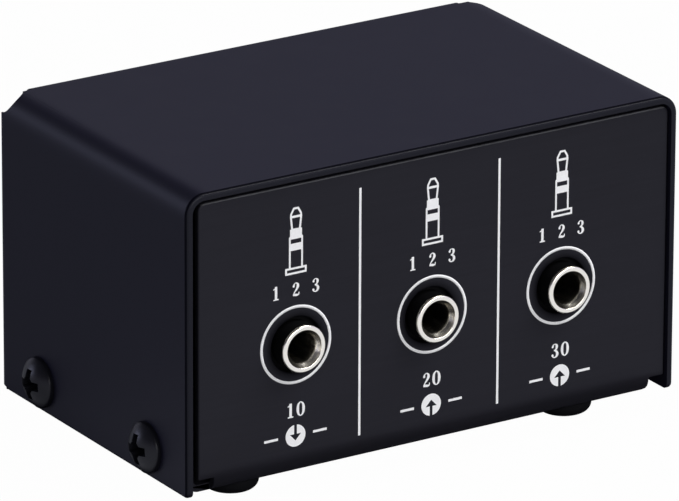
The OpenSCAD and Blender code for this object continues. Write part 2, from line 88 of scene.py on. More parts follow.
class Net:
    """Short hand for placing and joining nodes in one tree."""

    def __init__(self, tree: Tree) -> None:
        """Keeps the tree that the nodes go into."""
        self.tree = tree

    @classmethod
    def group(cls, name: str, kind: str, takes: dict[str, str], gives: dict[str, str]) -> tuple["Net", Outputs, Node]:
        """Starts a node group.

        Args:
            name: Name of the group.
            kind: Shader or Geometry.
            takes: Kind of each input by its label.
            gives: Kind of each output by its label.

        Returns:
            The net, what the group takes and the node that gives its results.
        """
        tree = bpy.data.node_groups.new(name, kind + "NodeTree")
        for way, sockets in (("INPUT", takes), ("OUTPUT", gives)):
            for label, socket in sockets.items():
                tree.interface.new_socket(name=label, in_out=way, socket_type="NodeSocket" + socket)
        net = cls(tree)
        return net, net.add("NodeGroupInput").outputs, net.add("NodeGroupOutput")

    @classmethod
    def bare(cls, owner: bpy.types.ID) -> "Net":
        """Gives the emptied tree of a material or a world."""
        owner.use_nodes = True
        owner.node_tree.nodes.clear()
        return cls(owner.node_tree)

    def add(self, kind: str, values: object = (), **settings: object) -> Node:
        """Adds a node.

        Args:
            kind: Blender's name of the node type.
            values: What its inputs get, by name or in order.
            settings: Properties to set on it.

        Returns:
            The new node.
        """
        node = self.tree.nodes.new(kind)
        for key, value in settings.items():
            setattr(node, key, value)
        return self.feed(node, values)

    def feed(self, node: Node, values: object) -> Node:
        """Links or sets a node's inputs, from a dict by name or in order, and returns the node."""
        for key, value in values.items() if isinstance(values, dict) else enumerate(values):
            if isinstance(value, Socket):
                self.tree.links.new(value, node.inputs[key])
            else:
                node.inputs[key].default_value = value
        return node

    def use(self, group: Tree, values: dict[str, object]) -> Outputs:
        """Adds a shader node group and returns its outputs."""
        return self.add("ShaderNodeGroup", node_tree=group, values=values).outputs

    def math(self, operation: str, *values: object) -> Socket:
        """Adds a math node on sockets or numbers and returns its result."""
        return self.add("ShaderNodeMath", values, operation=operation).outputs[0]

    def vector(self, operation: str, *values: object) -> Socket:
        """Adds a vector math node on sockets or vectors and returns its result."""
        node = self.add("ShaderNodeVectorMath", values, operation=operation)
        return node.outputs["Value" if operation == "LENGTH" else "Vector"]

    def scaled(self, vector: object, gain: Socket) -> Socket:
        """Multiplies a vector or a colour by a number."""
        return self.add("ShaderNodeVectorMath", {0: vector, "Scale": gain}, operation="SCALE").outputs[0]

    def noise(self, place: Socket, scale: object, detail: float) -> Socket:
        """Adds a noise texture on given coordinates and returns its value."""
        return self.add("ShaderNodeTexNoise", {"Vector": place, "Scale": scale, "Detail": detail}).outputs["Fac"]

    def ramp(self, *values: object) -> Socket:
        """Adds a smooth step from a value, its range and the two results, and returns what it gives."""
        return self.add("ShaderNodeMapRange", values, interpolation_type="SMOOTHSTEP").outputs["Result"]

    def place(self, kind: str = "Object") -> Socket:
        """Gives coordinates."""
        return self.add("ShaderNodeTexCoord").outputs[kind]

    def part(self, vector: Socket, axis: str) -> Socket:
        """Gives one part of a vector."""
        return self.add("ShaderNodeSeparateXYZ", [vector]).outputs[axis]

    def ray(self, kind: str) -> Socket:
        """Gives a mask that is 1 for one kind of ray."""
        return self.add("ShaderNodeLightPath").outputs[f"Is {kind} Ray"]

    def mixed(self, share: Socket, low: Node, high: Node, output: str) -> None:
        """Mixes two shaders and makes the mix the tree's surface."""
        mix = self.add("ShaderNodeMixShader", (share, low.outputs[0], high.outputs[0]))
        self.add(output, {"Surface": mix.outputs[0]})


class Effects:
    """Shader node groups that the finishes share, each built once."""

    fine_detail: dict[Grain, float] = {Grain.SPECKLE: 3.0, Grain.LINES: 5.0}
    broad_detail: float = 3.0
    fine_share: float = 0.6
    dust_color: Color = (0.55, 0.54, 0.52)
    speck_scale: float = 260.0
    speck_detail: float = 6.0
    speck_power: float = 3.0
    painted_shade_shape: Spot = (1, 0.25, 1)
    painted_shade_gain: float = 0.25

    @classmethod
    @cache
    def texture(cls, grain: Grain) -> Tree:
        """Gives the group that varies a colour, a roughness and a height over a surface.

        Args:
            grain: Speckle is even in all directions, and lines are stretched by the Stretch input.

        Returns:
            The node group, with Color, Roughness and Height outputs.
        """
        numbers = ("Fine scale", "Broad scale", "Colour spread", "Roughness", "Roughness spread")
        net, given, out = Net.group(grain.value, "Shader",
                                    {"Color": "Color", "Stretch": "Vector", **dict.fromkeys(numbers, "Float")},
                                    {"Color": "Color", "Roughness": "Float", "Height": "Float"})
        place = net.place()
        fine = net.noise(net.vector("MULTIPLY", place, given["Stretch"]), given["Fine scale"],
                         cls.fine_detail[grain])
        broad = net.noise(place, given["Broad scale"], cls.broad_detail)
        both = net.math("ADD", net.math("MULTIPLY", fine, cls.fine_share),
                        net.math("MULTIPLY", broad, 1 - cls.fine_share))
        swing = net.math("SUBTRACT", both, 0.5)
        gain = net.math("MULTIPLY_ADD", net.math("MULTIPLY", swing, 2.0), given["Colour spread"], 1.0)
        rough = net.math("MULTIPLY_ADD", swing, given["Roughness spread"], given["Roughness"])
        net.feed(out, {"Color": net.scaled(given["Color"], gain), "Roughness": rough, "Height": fine})
        return net.tree

    @classmethod
    @cache
    def dust(cls) -> Tree:
        """Gives the group that lays a little pale dust on upward faces and returns the colour."""
        net, given, out = Net.group("dust", "Shader", {"Color": "Color", "Amount": "Float"}, {"Color": "Color"})
        upward = net.math("MAXIMUM", net.part(net.add("ShaderNodeNewGeometry").outputs["Normal"], "Z"), 0.0)
        specks = net.math("POWER", net.noise(net.place(), cls.speck_scale, cls.speck_detail), cls.speck_power)
        share = net.math("MULTIPLY", net.math("MULTIPLY", upward, specks), given["Amount"])
        mix = net.add("ShaderNodeMix", data_type="RGBA")
        net.feed(mix, {"Factor": share, "A": given["Color"], "B": (*cls.dust_color, 1)})
        net.feed(out, {"Color": mix.outputs["Result"]})
        return net.tree

    @classmethod
    @cache
    def hollow(cls) -> Tree:
        """Gives the group that paints shade round an opening: it dims a panel's colour and coat there, standing in for
        the shadow round it, and returns the colour and the coat.
        """
        net, given, out = Net.group("hollow", "Shader", {"Color": "Color", "Coat": "Float", "Middle": "Vector",
                                                         "Near": "Float", "Far": "Float"},
                                    {"Color": "Color", "Coat": "Float"})
        # Painted shade: colour and coat are dimmed near the opening's axis and left as they are farther out.
        apart = net.vector("MULTIPLY", net.vector("SUBTRACT", net.place(), given["Middle"]), cls.painted_shade_shape)
        gain = net.ramp(net.vector("LENGTH", apart), given["Near"], given["Far"], cls.painted_shade_gain, 1.0)
        net.feed(out, {"Color": net.scaled(given["Color"], gain), "Coat": net.math("MULTIPLY", given["Coat"], gain)})
        return net.tree


@dataclass(frozen=True)
class Finish:
    """Surface of one kind of piece, made into a material from the shared effects."""

    name: str
    color: Color
    roughness: float
    metallic: float = 0.0
    specular: float = 0.5
    coat: float = 0.0
    coat_roughness: float = 0.3
    grain: Grain = Grain.SPECKLE
    stretch: Spot = (1.0, 1.0, 1.0)
    fine_scale: float = 3000.0
    broad_scale: float = 90.0
    color_spread: float = 0.15
    rough_spread: float = 0.15
    bump: float = 0.1
    bump_mm: float = 0.02
    dust: float = 0.0
    # Middles of openings with painted shade round them, and how far that painted shade reaches.
    painted_shade_middles: tuple[Spot, ...] = ()
    painted_shade_reach: Point = (3.3 * MM, 4.8 * MM)

    @cache
    def material(self) -> bpy.types.Material:
        """Gives the material, built on first use."""
        made = bpy.data.materials.new(self.name)
        made.use_nodes = True
        made.diffuse_color = (*self.color, 1)
        net = Net(made.node_tree)
        texture = net.use(Effects.texture(self.grain), {
            "Color": (*self.color, 1), "Stretch": self.stretch, "Fine scale": self.fine_scale,
            "Broad scale": self.broad_scale, "Colour spread": self.color_spread,
            "Roughness": self.roughness, "Roughness spread": self.rough_spread})
        shade, coat = texture["Color"], self.coat
        if self.dust:
            shade = net.use(Effects.dust(), {"Color": shade, "Amount": self.dust})["Color"]
        # Painted shade round each listed opening, such as the jacks on the panel.
        near, far = self.painted_shade_reach
        for middle in self.painted_shade_middles:
            dim = net.use(Effects.hollow(), {"Color": shade, "Coat": coat, "Middle": middle, "Near": near, "Far": far})
            shade, coat = dim["Color"], dim["Coat"]
        relief = net.add("ShaderNodeBump", {"Strength": self.bump, "Distance": self.bump_mm * MM,
                                            "Height": texture["Height"]})
        net.feed(made.node_tree.nodes["Principled BSDF"], {
            "Base Color": shade, "Roughness": texture["Roughness"], "Normal": relief.outputs["Normal"],
            "Metallic": self.metallic, "Specular IOR Level": self.specular,
            "Coat Weight": coat, "Coat Roughness": self.coat_roughness})
        return made


# Lit copy: the powder coat retoned for the rim's front faces, painted to how they look under the front light.
RIM_LIT_COAT = Finish("rim_powder", (0.0120, 0.0122, 0.0178), 0.60, specular=0.0, coat=0.15, coat_roughness=0.26,
                  fine_scale=4200.0, broad_scale=60.0, color_spread=0.10, bump=0.16, bump_mm=0.03)
# Painted shade: a darker copy of the powder coat for the rim's rounding, where it turns from the top to the front.
RIM_SHADE_COAT = replace(RIM_LIT_COAT, name="edge_powder", color=(0.0030, 0.0030, 0.0062), coat=0.06, coat_roughness=0.42)
COVER_COAT = replace(RIM_SHADE_COAT, name="cover_powder", color=(0.0104, 0.0100, 0.0202), coat=0.24, rough_spread=0.12,
                     dust=0.008)
# The panel coat gets painted shade round each jack's nose.
PANEL_COAT = Finish("panel_satin", (0.0160, 0.0157, 0.0212), 0.55, specular=0.0, coat=0.15, coat_roughness=0.28,
                    grain=Grain.LINES, stretch=(1.0, 40.0, 40.0), fine_scale=60.0, broad_scale=50.0,
                    color_spread=0.22, rough_spread=0.22, bump=0.12,
                    painted_shade_middles=tuple(tuple(sum(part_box(name + "_nose"), Vector()) / 2) for name in JACKS))
# Painted highlight: a paler copy of paint for the jack panel's top edge, standing in for the light that edge catches.
PANEL_EDGE_HIGHLIGHT = Finish("worn_edge", (0.060, 0.060, 0.066), 0.45, specular=0.2, fine_scale=900.0, broad_scale=120.0,
                   color_spread=0.8)
BLACK_STEEL = Finish("blackened_steel", (0.0080, 0.0080, 0.0120), 0.45, specular=0.0, coat=0.45, coat_roughness=0.34,
                     fine_scale=5200.0, broad_scale=400.0, bump=0.08, bump_mm=0.01)
FOOT_RUBBER = Finish("soft_rubber", (0.0070, 0.0070, 0.0085), 0.72, specular=0.05, fine_scale=2600.0,
                     broad_scale=300.0, color_spread=0.25, bump=0.25, bump_mm=0.03)
BOARD_MASK = Finish("board_green", (0.020, 0.110, 0.045), 0.35, coat=0.3, fine_scale=900.0, broad_scale=60.0,
                    color_spread=0.2, bump=0.06)
SPACER_BRASS = Finish("turned_brass", (0.62, 0.45, 0.16), 0.30, metallic=1.0, grain=Grain.LINES,
                      stretch=(1.0, 1.0, 30.0), fine_scale=180.0, bump=0.05)
CONTACT_BRASS = replace(SPACER_BRASS, name="spring_brass", color=(0.65, 0.48, 0.20), roughness=0.28,
                        stretch=(1.0, 1.0, 20.0), fine_scale=200.0, bump=0.04)
ZINC_STEEL = Finish("zinc_plate", (0.55, 0.55, 0.56), 0.34, metallic=1.0, fine_scale=2200.0, broad_scale=220.0,
                    color_spread=0.08, bump=0.05)
JACK_PLASTIC = Finish("moulded_black", (0.0045, 0.0045, 0.0050), 0.55, specular=0.03, fine_scale=2600.0,
                      broad_scale=260.0)
JACK_NICKEL = Finish("bright_nickel", (0.90, 0.85, 0.73), 0.20, metallic=1.0, grain=Grain.LINES,
                     stretch=(1.0, 26.0, 1.0), fine_scale=240.0, broad_scale=300.0, color_spread=0.06,
                     rough_spread=0.16, bump=0.04, bump_mm=0.01)
# Painted shade and highlights: a darker copy of the nickel for the bore, standing in for the shade deep in the hole,
# with strong streaks along the axis standing in for highlights on its wall.
BORE_SHADE_AND_STREAKS = replace(JACK_NICKEL, name="bore_nickel", color=(0.45, 0.43, 0.38), roughness=0.24,
                      stretch=(1.0, 0.06, 1.0), fine_scale=900.0, color_spread=2.2, rough_spread=0.2)
BUSH_NICKEL = Finish("drawn_nickel", (0.62, 0.62, 0.60), 0.26, metallic=1.0, grain=Grain.LINES,
                     stretch=(1.0, 24.0, 1.0), fine_scale=200.0, color_spread=0.08, bump=0.05)
SHAFT_ALLOY = replace(BUSH_NICKEL, name="turned_alloy", color=(0.60, 0.60, 0.60), roughness=0.30)
WAFER_LAMINATE = Finish("brown_laminate", (0.150, 0.075, 0.030), 0.55, fine_scale=1500.0, broad_scale=120.0,
                        color_spread=0.3)
KNOB_PLASTIC = Finish("satin_black", (0.0110, 0.0110, 0.0135), 0.46, specular=0.12, fine_scale=3400.0,
                      broad_scale=200.0, bump=0.14, dust=0.01)
POINTER_PAINT = Finish("white_paint", (0.80, 0.80, 0.78), 0.40, fine_scale=2600.0, color_spread=0.05, bump=0.06)
PANEL_INK = Finish("white_ink", (0.92, 0.92, 0.94), 0.62, specular=0.3, fine_scale=4200.0, broad_scale=500.0,
                   color_spread=0.10, bump_mm=0.006)

SLOT_FINISH: dict[str, Finish] = {
    "cover_coat": COVER_COAT, "panel_coat": PANEL_COAT, "black_steel": BLACK_STEEL, "foot_rubber": FOOT_RUBBER,
    "board_laminate": BOARD_MASK, "spacer_brass": SPACER_BRASS, "plated_steel": ZINC_STEEL,
    "jack_plastic": JACK_PLASTIC, "jack_nickel": JACK_NICKEL, "contact_brass": CONTACT_BRASS,
    "bush_nickel": BUSH_NICKEL, "wafer_laminate": WAFER_LAMINATE, "shaft_alloy": SHAFT_ALLOY,
    "knob_plastic": KNOB_PLASTIC, "pointer_paint": POINTER_PAINT,
}


@cache
def corners(node: str) -> tuple[Vector, Vector]:
    """Gives a CAD node's lowest and highest corners, and measures it only once."""
    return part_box(node)


class Shop:
    """Workshop helpers that make, finish and hand over meshes."""

    flat_deg: float = 0.5
    sharp_deg: float = 40.0
    weld: float = 2e-6

    @staticmethod
    def link(name: str, data: bpy.types.ID) -> Piece:
        """Makes an object of a mesh, a lamp or a camera and links it to the scene."""
        made = bpy.data.objects.new(name, data)
        bpy.context.scene.collection.objects.link(made)
        return made

    @staticmethod
    def dress(piece: Piece, *finishes: Finish) -> None:
        """Gives a piece its finishes in place of those it has."""
        piece.data.materials.clear()
        for finish in finishes:
            piece.data.materials.append(finish.material())

    @staticmethod
    def modify(made: Piece, name: str, kind: str, **settings: object) -> bpy.types.Modifier:
        """Adds a modifier with settings."""
        modifier = made.modifiers.new(name, kind)
        for key, value in settings.items():
            setattr(modifier, key, value)
        return modifier

    @classmethod
    def obj(cls, name: str, bm: bmesh.types.BMesh, smooth_deg: float = 35.0) -> Piece:
        """Turns a bmesh into a linked object.

        Args:
            name: Name of the object and its mesh.
            bm: Geometry, freed here.
            smooth_deg: Edges sharper than this stay sharp.

        Returns:
            The new object.
        """
        mesh = bpy.data.meshes.new(name)
        bm.to_mesh(mesh)
        bm.free()
        mesh.polygons.foreach_set("use_smooth", [True] * len(mesh.polygons))
        mesh.set_sharp_from_angle(angle=math.radians(smooth_deg))
        return cls.link(name, mesh)

    @staticmethod
    def settle(made: Piece) -> Piece:
        """Replaces an object's mesh by its evaluated one and drops its modifiers."""
        graph = bpy.context.evaluated_depsgraph_get()
        graph.update()
        mesh = bpy.data.meshes.new_from_object(made.evaluated_get(graph), preserve_all_data_layers=True,
                                               depsgraph=graph)
        made.modifiers.clear()
        mesh.name = made.name
        made.data = mesh
        return made

    @staticmethod
    def discard(*spent: Piece) -> None:
        """Removes helper objects."""
        for one in spent:
            bpy.data.objects.remove(one)

    @classmethod
    def softened(cls, node: str, name: str, width: float, segments: int, wide: float = 0.0,
                 where: Optional[Callable[[Vector], bool]] = None, cuts: Sequence[Plane] = (),
                 cut: Callable[[Vector], bool] = lambda place: True) -> Piece:
        """Copies a CAD node and rounds its sharp edges.

        Args:
            node: CAD node to copy.
            name: Name of the new piece.
            width: Width of the rounding in metres.
            segments: Steps across the rounding.
            wide: Width of the rounding on the chosen edges.
            where: Chooses the edges with the wide rounding by the place of both ends.
            cuts: Planes that split faces, each by a point and its normal.
            cut: Chooses the faces that the planes split by the places of their corners.

        Returns:
            The new object with a plain mesh.
        """
        bm = bmesh.new()
        bm.from_mesh(frame["nodes"][node].data)
        bmesh.ops.remove_doubles(bm, verts=bm.verts, dist=cls.weld)
        bmesh.ops.dissolve_limit(bm, angle_limit=math.radians(cls.flat_deg), use_dissolve_boundaries=False,
                                 verts=bm.verts, edges=bm.edges, delimit={"NORMAL"})
        for place, facing in cuts:
            split = [face for face in bm.faces if all(cut(vert.co) for vert in face.verts)]
            rims = [part for face in split for part in (*face.edges, *face.verts)]
            bmesh.ops.bisect_plane(bm, geom=[*split, *dict.fromkeys(rims)], dist=cls.weld, plane_co=place,
                                   plane_no=facing)
        share = bm.edges.layers.float.new("bevel_weight_edge")
        full = max(wide, width)
        for edge in bm.edges:
            if edge.is_manifold and edge.calc_face_angle() > math.radians(cls.sharp_deg):
                edge[share] = 1.0 if where and all(where(v.co) for v in edge.verts) else width / full
        made = cls.obj(name, bm)
        cls.modify(made, "round", "BEVEL", width=full, segments=segments, limit_method="WEIGHT",
                   use_clamp_overlap=not where)
        cls.modify(made, "flat_faces", "WEIGHTED_NORMAL", keep_sharp=True)
        return cls.trued(cls.drawn_in(cls.settle(made), frame["nodes"][node]))

    @staticmethod
    def renormal(made: Piece, facing: Callable[[bpy.types.MeshPolygon, Vector], Optional[Vector]]) -> None:
        """Gives corners of an object's faces new normals, where there is one for the face and the corner's place."""
        mesh = made.data
        normals = [Vector(corner.vector) for corner in mesh.corner_normals]
        for face in mesh.polygons:
            for i, vertex in zip(face.loop_indices, face.vertices):
                normals[i] = facing(face, mesh.vertices[vertex].co) or normals[i]
        mesh.normals_split_custom_set(normals)

    @classmethod
    def trued(cls, made: Piece, area: float = 100 * MM**2) -> Piece:
        """Sets the normals of large flat faces square to them, so that they shade evenly."""
        cls.renormal(made, lambda face, _: Vector(face.normal) if face.area > area else None)
        return made

    @staticmethod
    def drawn_in(made: Piece, solid: Piece) -> Piece:
        """Draws points that lie outside a solid back onto its surface."""
        skin = BVHTree.FromPolygons([v.co for v in solid.data.vertices], [p.vertices for p in solid.data.polygons])
        for vertex in made.data.vertices:
            spot, normal, _, _ = skin.find_nearest(vertex.co)
            if (vertex.co - spot).dot(normal) > 0:
                vertex.co = spot
        return made

    @classmethod
    def turned(cls, name: str, profile: Sequence[Point], steps: int, turn: Matrix = Matrix(),
               smooth_deg: float = 35.0) -> Piece:
        """Turns a profile of radius and height about z into an object.

        Args:
            name: Name of the object.
            profile: Points in metres, from axis to axis or round the section of a ring.
            steps: Faces around.
            turn: Where the axis goes afterwards.
            smooth_deg: Edges sharper than this stay sharp.

        Returns:
            The new object.
        """
        bm = bmesh.new()
        rings = []
        angles = [2 * math.pi * i / steps for i in range(steps)]
        for radius, height in profile:
            if radius < TINY:
                rings.append([bm.verts.new((0, 0, height))] * steps)
            else:
                rings.append([bm.verts.new((radius * math.cos(a), radius * math.sin(a), height)) for a in angles])
        for low, high in zip(rings, rings[1:] + rings[:1] if profile[0][0] > TINY else rings[1:]):
            for i in range(steps):
                j = (i + 1) % steps
                around = list(dict.fromkeys((low[i], low[j], high[j], high[i])))
                if len(around) > 2:
                    bm.faces.new(around)
        bmesh.ops.recalc_face_normals(bm, faces=bm.faces)
        bmesh.ops.transform(bm, matrix=turn, verts=bm.verts)
        return cls.obj(name, bm, smooth_deg)

    @staticmethod
    def arc(center: Point, radius: float, from_deg: float, to_deg: float, steps: int) -> list[Point]:
        """Gives points on an arc in a profile."""
        angles = [math.radians(from_deg + (to_deg - from_deg) * i / steps) for i in range(steps + 1)]
        return [(center[0] + radius * math.cos(a), center[1] + radius * math.sin(a)) for a in angles]

    @classmethod
    def hand_over(cls, piece: Piece, body: str, slot: str, finish: Optional[Finish], *nodes: str) -> None:
        """Dresses a piece, sets it on its body and hides the CAD nodes it stands for.

        Args:
            piece: Finished mesh at the origin.
            body: CAD body that it moves with.
            slot: Slot of the record that gives its finish; not used.
            finish: Finish to put on it, or None where it has one.
            nodes: CAD nodes that it replaces.
        """
        if finish:
            cls.dress(piece, finish)
        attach(piece, body)
        if nodes:
            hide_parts(*nodes)
        LOG.info("%s on %s, %d faces", piece.name, body, len(piece.data.polygons))


class Copies:
    """Geometry Nodes trees that set copies of one part on points."""

    ring_steps: int = 128

    @staticmethod
    def _start(name: str, **takes: str) -> tuple[Net, Outputs, Node]:
        """Starts a tree on points that takes a finish and more."""
        return Net.group(name, "Geometry", {"Geometry": "Geometry", **takes, "Finish": "Material"},
                         {"Geometry": "Geometry"})

    @staticmethod
    def _end(net: Net, given: Outputs, out: Node, part: Socket,
             turn: object) -> Tree:
        """Sets a turned part on the points, gives it the finish and returns the tree."""
        setting = net.add("GeometryNodeInstanceOnPoints", {"Points": given["Geometry"], "Instance": part,
                                                           "Rotation": turn})
        whole = net.add("GeometryNodeRealizeInstances", [setting.outputs["Instances"]])
        dress = net.add("GeometryNodeSetMaterial", {"Geometry": whole.outputs["Geometry"],
                                                    "Material": given["Finish"]})
        net.feed(out, [dress.outputs["Geometry"]])
        return net.tree

    @classmethod
    @cache
    def parts(cls) -> Tree:
        """Gives the tree that copies an object, each copy with its own turn."""
        net, given, out = cls._start("set_copies", Part="Object")
        part = net.add("GeometryNodeObjectInfo", {"Object": given["Part"]}, transform_space="ORIGINAL")
        turn = net.add("GeometryNodeInputNamedAttribute", {"Name": "turn"}, data_type="FLOAT_VECTOR")
        angles = net.add("FunctionNodeEulerToRotation", {"Euler": turn.outputs["Attribute"]})
        return cls._end(net, given, out, part.outputs["Geometry"], angles.outputs["Rotation"])

    @classmethod
    @cache
    def rings(cls) -> Tree:
        """Gives the tree that draws an upright round line about each point."""
        net, given, out = cls._start("ring_lines", Radius="Float", Line="Float", Thick="Float")
        circle = net.add("GeometryNodeCurvePrimitiveCircle", {"Resolution": cls.ring_steps, "Radius": given["Radius"]})
        section = net.add("GeometryNodeCurvePrimitiveQuadrilateral", {"Width": given["Line"],
                                                                      "Height": given["Thick"]})
        sweep = net.add("GeometryNodeCurveToMesh", {"Curve": circle.outputs["Curve"],
                                                    "Profile Curve": section.outputs["Curve"]})
        return cls._end(net, given, out, sweep.outputs["Mesh"], (math.pi / 2, 0, 0))

    @staticmethod
    def grown(name: str, tree: Tree, places: Sequence[Vector], values: dict[str, object],
              turns: Sequence[Vector] = ()) -> Piece:
        """Runs a tree on points and makes the result one plain mesh.

        Args:
            name: Name of the piece.
            tree: Tree to run.
            places: Where each copy goes, in metres.
            values: What the tree takes, by label.
            turns: Euler angles of each copy in radians.

        Returns:
            The piece.
        """
        mesh = bpy.data.meshes.new(name)
        mesh.from_pydata([tuple(p) for p in places], [], [])
        if turns:
            turn = mesh.attributes.new("turn", "FLOAT_VECTOR", "POINT")
            turn.data.foreach_set("vector", [v for t in turns for v in t])
        made = Shop.link(name, mesh)
        modifier = Shop.modify(made, tree.name, "NODES", node_group=tree)
        for item in tree.interface.items_tree:
            if item.in_out == "INPUT" and item.name in values:
                modifier[item.identifier] = values[item.name]
        return Shop.settle(made)

    @classmethod
    def set_out(cls, name: str, part: Piece, finish: Finish, places: Sequence[Vector],
                turns: Sequence[Vector] = ()) -> Piece:
        """Sets copies of a part out on points, level where no turns are given, and removes the part."""
        made = cls.grown(name, cls.parts(), places, {"Part": part, "Finish": finish.material()},
                         turns or [Vector()] * len(places))
        Shop.discard(part)
        return made


class Ink:
    """Thin raised ink, drawn in reading direction on one of the two panels."""

    height: float = 0.025 * MM
    sunk: float = 0.01 * MM
    layer: float = 0.0006 * MM
    miter: float = 0.35
    figure_middle: Point = (0.3, 0.5)

    def __init__(self, side: Side) -> None:
        """Starts an empty print for a panel, drawn about the origin."""
        self.side = side
        self.bm = bmesh.new()
        self.laid = 0

    def _at(self, point: Point, depth: float) -> bmesh.types.BMVert:
        """Places one point of the drawing, in millimetres, at a depth off the panel, each stroke on the last."""
        proud = depth + self.laid * self.layer
        return self.bm.verts.new((-self.side.value * point[0] * MM, self.side.value * proud, point[1] * MM))

    def area(self, outline: Sequence[Point]) -> None:
        """Fills an outline with ink."""
        front = [self._at(p, self.height) for p in outline]
        back = [self._at(p, -self.sunk) for p in outline]
        faces = [self.bm.faces.new(front), self.bm.faces.new(list(reversed(back)))]
        for i in range(len(outline)):
            j = (i + 1) % len(outline)
            faces.append(self.bm.faces.new((front[j], front[i], back[i], back[j])))
        bmesh.ops.recalc_face_normals(self.bm, faces=faces)
        self.laid += 1

    def stroke(self, pen: Sequence[PenPoint], closed: bool = False) -> None:
        """Draws a line whose half width follows the pen.

        Args:
            pen: Points with a half width each, in millimetres.
            closed: Whether the line runs back to its start.
        """
        count = len(pen)
        left, right = [], []
        for i, (x, z, half) in enumerate(pen):
            before = pen[i - 1] if closed or i else pen[i]
            after = pen[(i + 1) % count] if closed or i < count - 1 else pen[i]
            one = Vector((x - before[0], z - before[1]))
            two = Vector((after[0] - x, after[1] - z))
            one = one.normalized() if one.length > TINY else two.normalized()
            two = two.normalized() if two.length > TINY else one
            run = (one + two).normalized()
            reach = half / max(self.miter, run.dot(two))
            left.append((x - run.y * reach, z + run.x * reach))
            right.append((x + run.y * reach, z - run.x * reach))
        self._band(left, right, closed)

    def _band(self, left: Sequence[Point], right: Sequence[Point], closed: bool) -> None:
        """Fills the band between two edges with ink."""
        rows = [[self._at(p, d) for d in (self.height, -self.sunk) for p in pair] for pair in zip(left, right)]
        faces = []
        for i in range(len(rows) if closed else len(rows) - 1):
            a, b = rows[i], rows[(i + 1) % len(rows)]
            for s, t in ((0, 1), (1, 3), (3, 2), (2, 0)):
                faces.append(self.bm.faces.new((a[s], a[t], b[t], b[s])))
        if not closed:
            faces += [self.bm.faces.new((r[0], r[1], r[3], r[2])) for r in (rows[0], rows[-1])]
        bmesh.ops.recalc_face_normals(self.bm, faces=faces)
        self.laid += 1

    def loop(self, outline: Sequence[Point], width: float) -> None:
        """Draws a closed outline in an even line."""
        self.stroke([(x, z, width / 2) for x, z in outline], closed=True)

    def line(self, start: Point, end: Point, width: float) -> None:
        """Draws a straight line."""
        self.stroke([(*start, width / 2), (*end, width / 2)])

    def figures(self, text: str, middle: Point, height: float, spacing: float) -> None:
        """Writes plain figures with thick stems and thin joins.

        Args:
            text: Figures and spaces.
            middle: Centre of the line of figures.
            height: Height of a figure.
            spacing: Step from one figure to the next, as a share of the height.
        """
        start = middle[0] - (len(text) - 1) * spacing * height / 2
        across, up = self.figure_middle
        for i, sign in enumerate(text):
            for pen, closed in FIGURES.get(sign, ()):
                self.stroke([(start + (i * spacing + x - across) * height, middle[1] + (z - up) * height, w * height)
                             for x, z, w in smooth(pen, closed)], closed)

    def done(self, name: str) -> Piece:
        """Gives the drawing as an object about the origin."""
        return Shop.obj(name, self.bm)


FIGURES: dict[str, tuple[tuple[tuple[PenPoint, ...], bool], ...]] = {
    "0": ((((0.08, 0.50, 0.10), (0.13, 0.82, 0.075), (0.30, 0.965, 0.035), (0.47, 0.82, 0.075),
            (0.52, 0.50, 0.10), (0.47, 0.18, 0.075), (0.30, 0.035, 0.035), (0.13, 0.18, 0.075)), True),),
    "1": ((((0.31, 0.02, 0.095), (0.31, 0.5, 0.095), (0.31, 0.99, 0.095)), False),
          (((0.10, 0.04, 0.04), (0.31, 0.04, 0.04), (0.52, 0.04, 0.04)), False),
          (((0.09, 0.79, 0.035), (0.20, 0.83, 0.045), (0.30, 0.92, 0.06)), False)),
    "2": ((((0.12, 0.66, 0.03), (0.13, 0.74, 0.085), (0.17, 0.88, 0.045), (0.30, 0.96, 0.035), (0.44, 0.87, 0.075),
            (0.46, 0.70, 0.10), (0.36, 0.50, 0.075), (0.20, 0.30, 0.045), (0.09, 0.10, 0.035)), False),
          (((0.07, 0.09, 0.05), (0.22, 0.11, 0.085), (0.38, 0.08, 0.08), (0.52, 0.10, 0.05)), False),
          (((0.52, 0.07, 0.04), (0.54, 0.17, 0.035), (0.55, 0.27, 0.025)), False)),
    "3": ((((0.11, 0.72, 0.03), (0.12, 0.79, 0.08), (0.17, 0.92, 0.04), (0.29, 0.965, 0.033), (0.42, 0.89, 0.075),
            (0.44, 0.75, 0.09), (0.38, 0.60, 0.06), (0.22, 0.53, 0.033)), False),
          (((0.22, 0.53, 0.033), (0.40, 0.46, 0.07), (0.48, 0.28, 0.10), (0.42, 0.11, 0.075), (0.27, 0.035, 0.035),
            (0.15, 0.09, 0.045), (0.11, 0.20, 0.085), (0.10, 0.28, 0.03)), False)),
}


def smooth(pen: Sequence[PenPoint], closed: bool, steps: int = 6) -> list[PenPoint]:
    """Rounds a pen line by running a spline through its points.

    Args:
        pen: Points with half widths.
        closed: Whether the line is a loop.
        steps: Steps from one point to the next.

    Returns:
        The finer pen line.
    """
    count = len(pen)
    fine: list[PenPoint] = []
    for i in range(count if closed else count - 1):
        four = [pen[(i + k) % count] if closed else pen[min(max(i + k, 0), count - 1)] for k in (-1, 0, 1, 2)]
        for s in range(steps):
            t = s / steps
            weights = ((-t + 2 * t**2 - t**3) / 2, (2 - 5 * t**2 + 3 * t**3) / 2,
                       (t + 4 * t**2 - 3 * t**3) / 2, (t**3 - t**2) / 2)
            fine.append(tuple(sum(w * p[axis] for w, p in zip(weights, four)) for axis in range(3)))
    return fine if closed else fine + [tuple(pen[-1])]


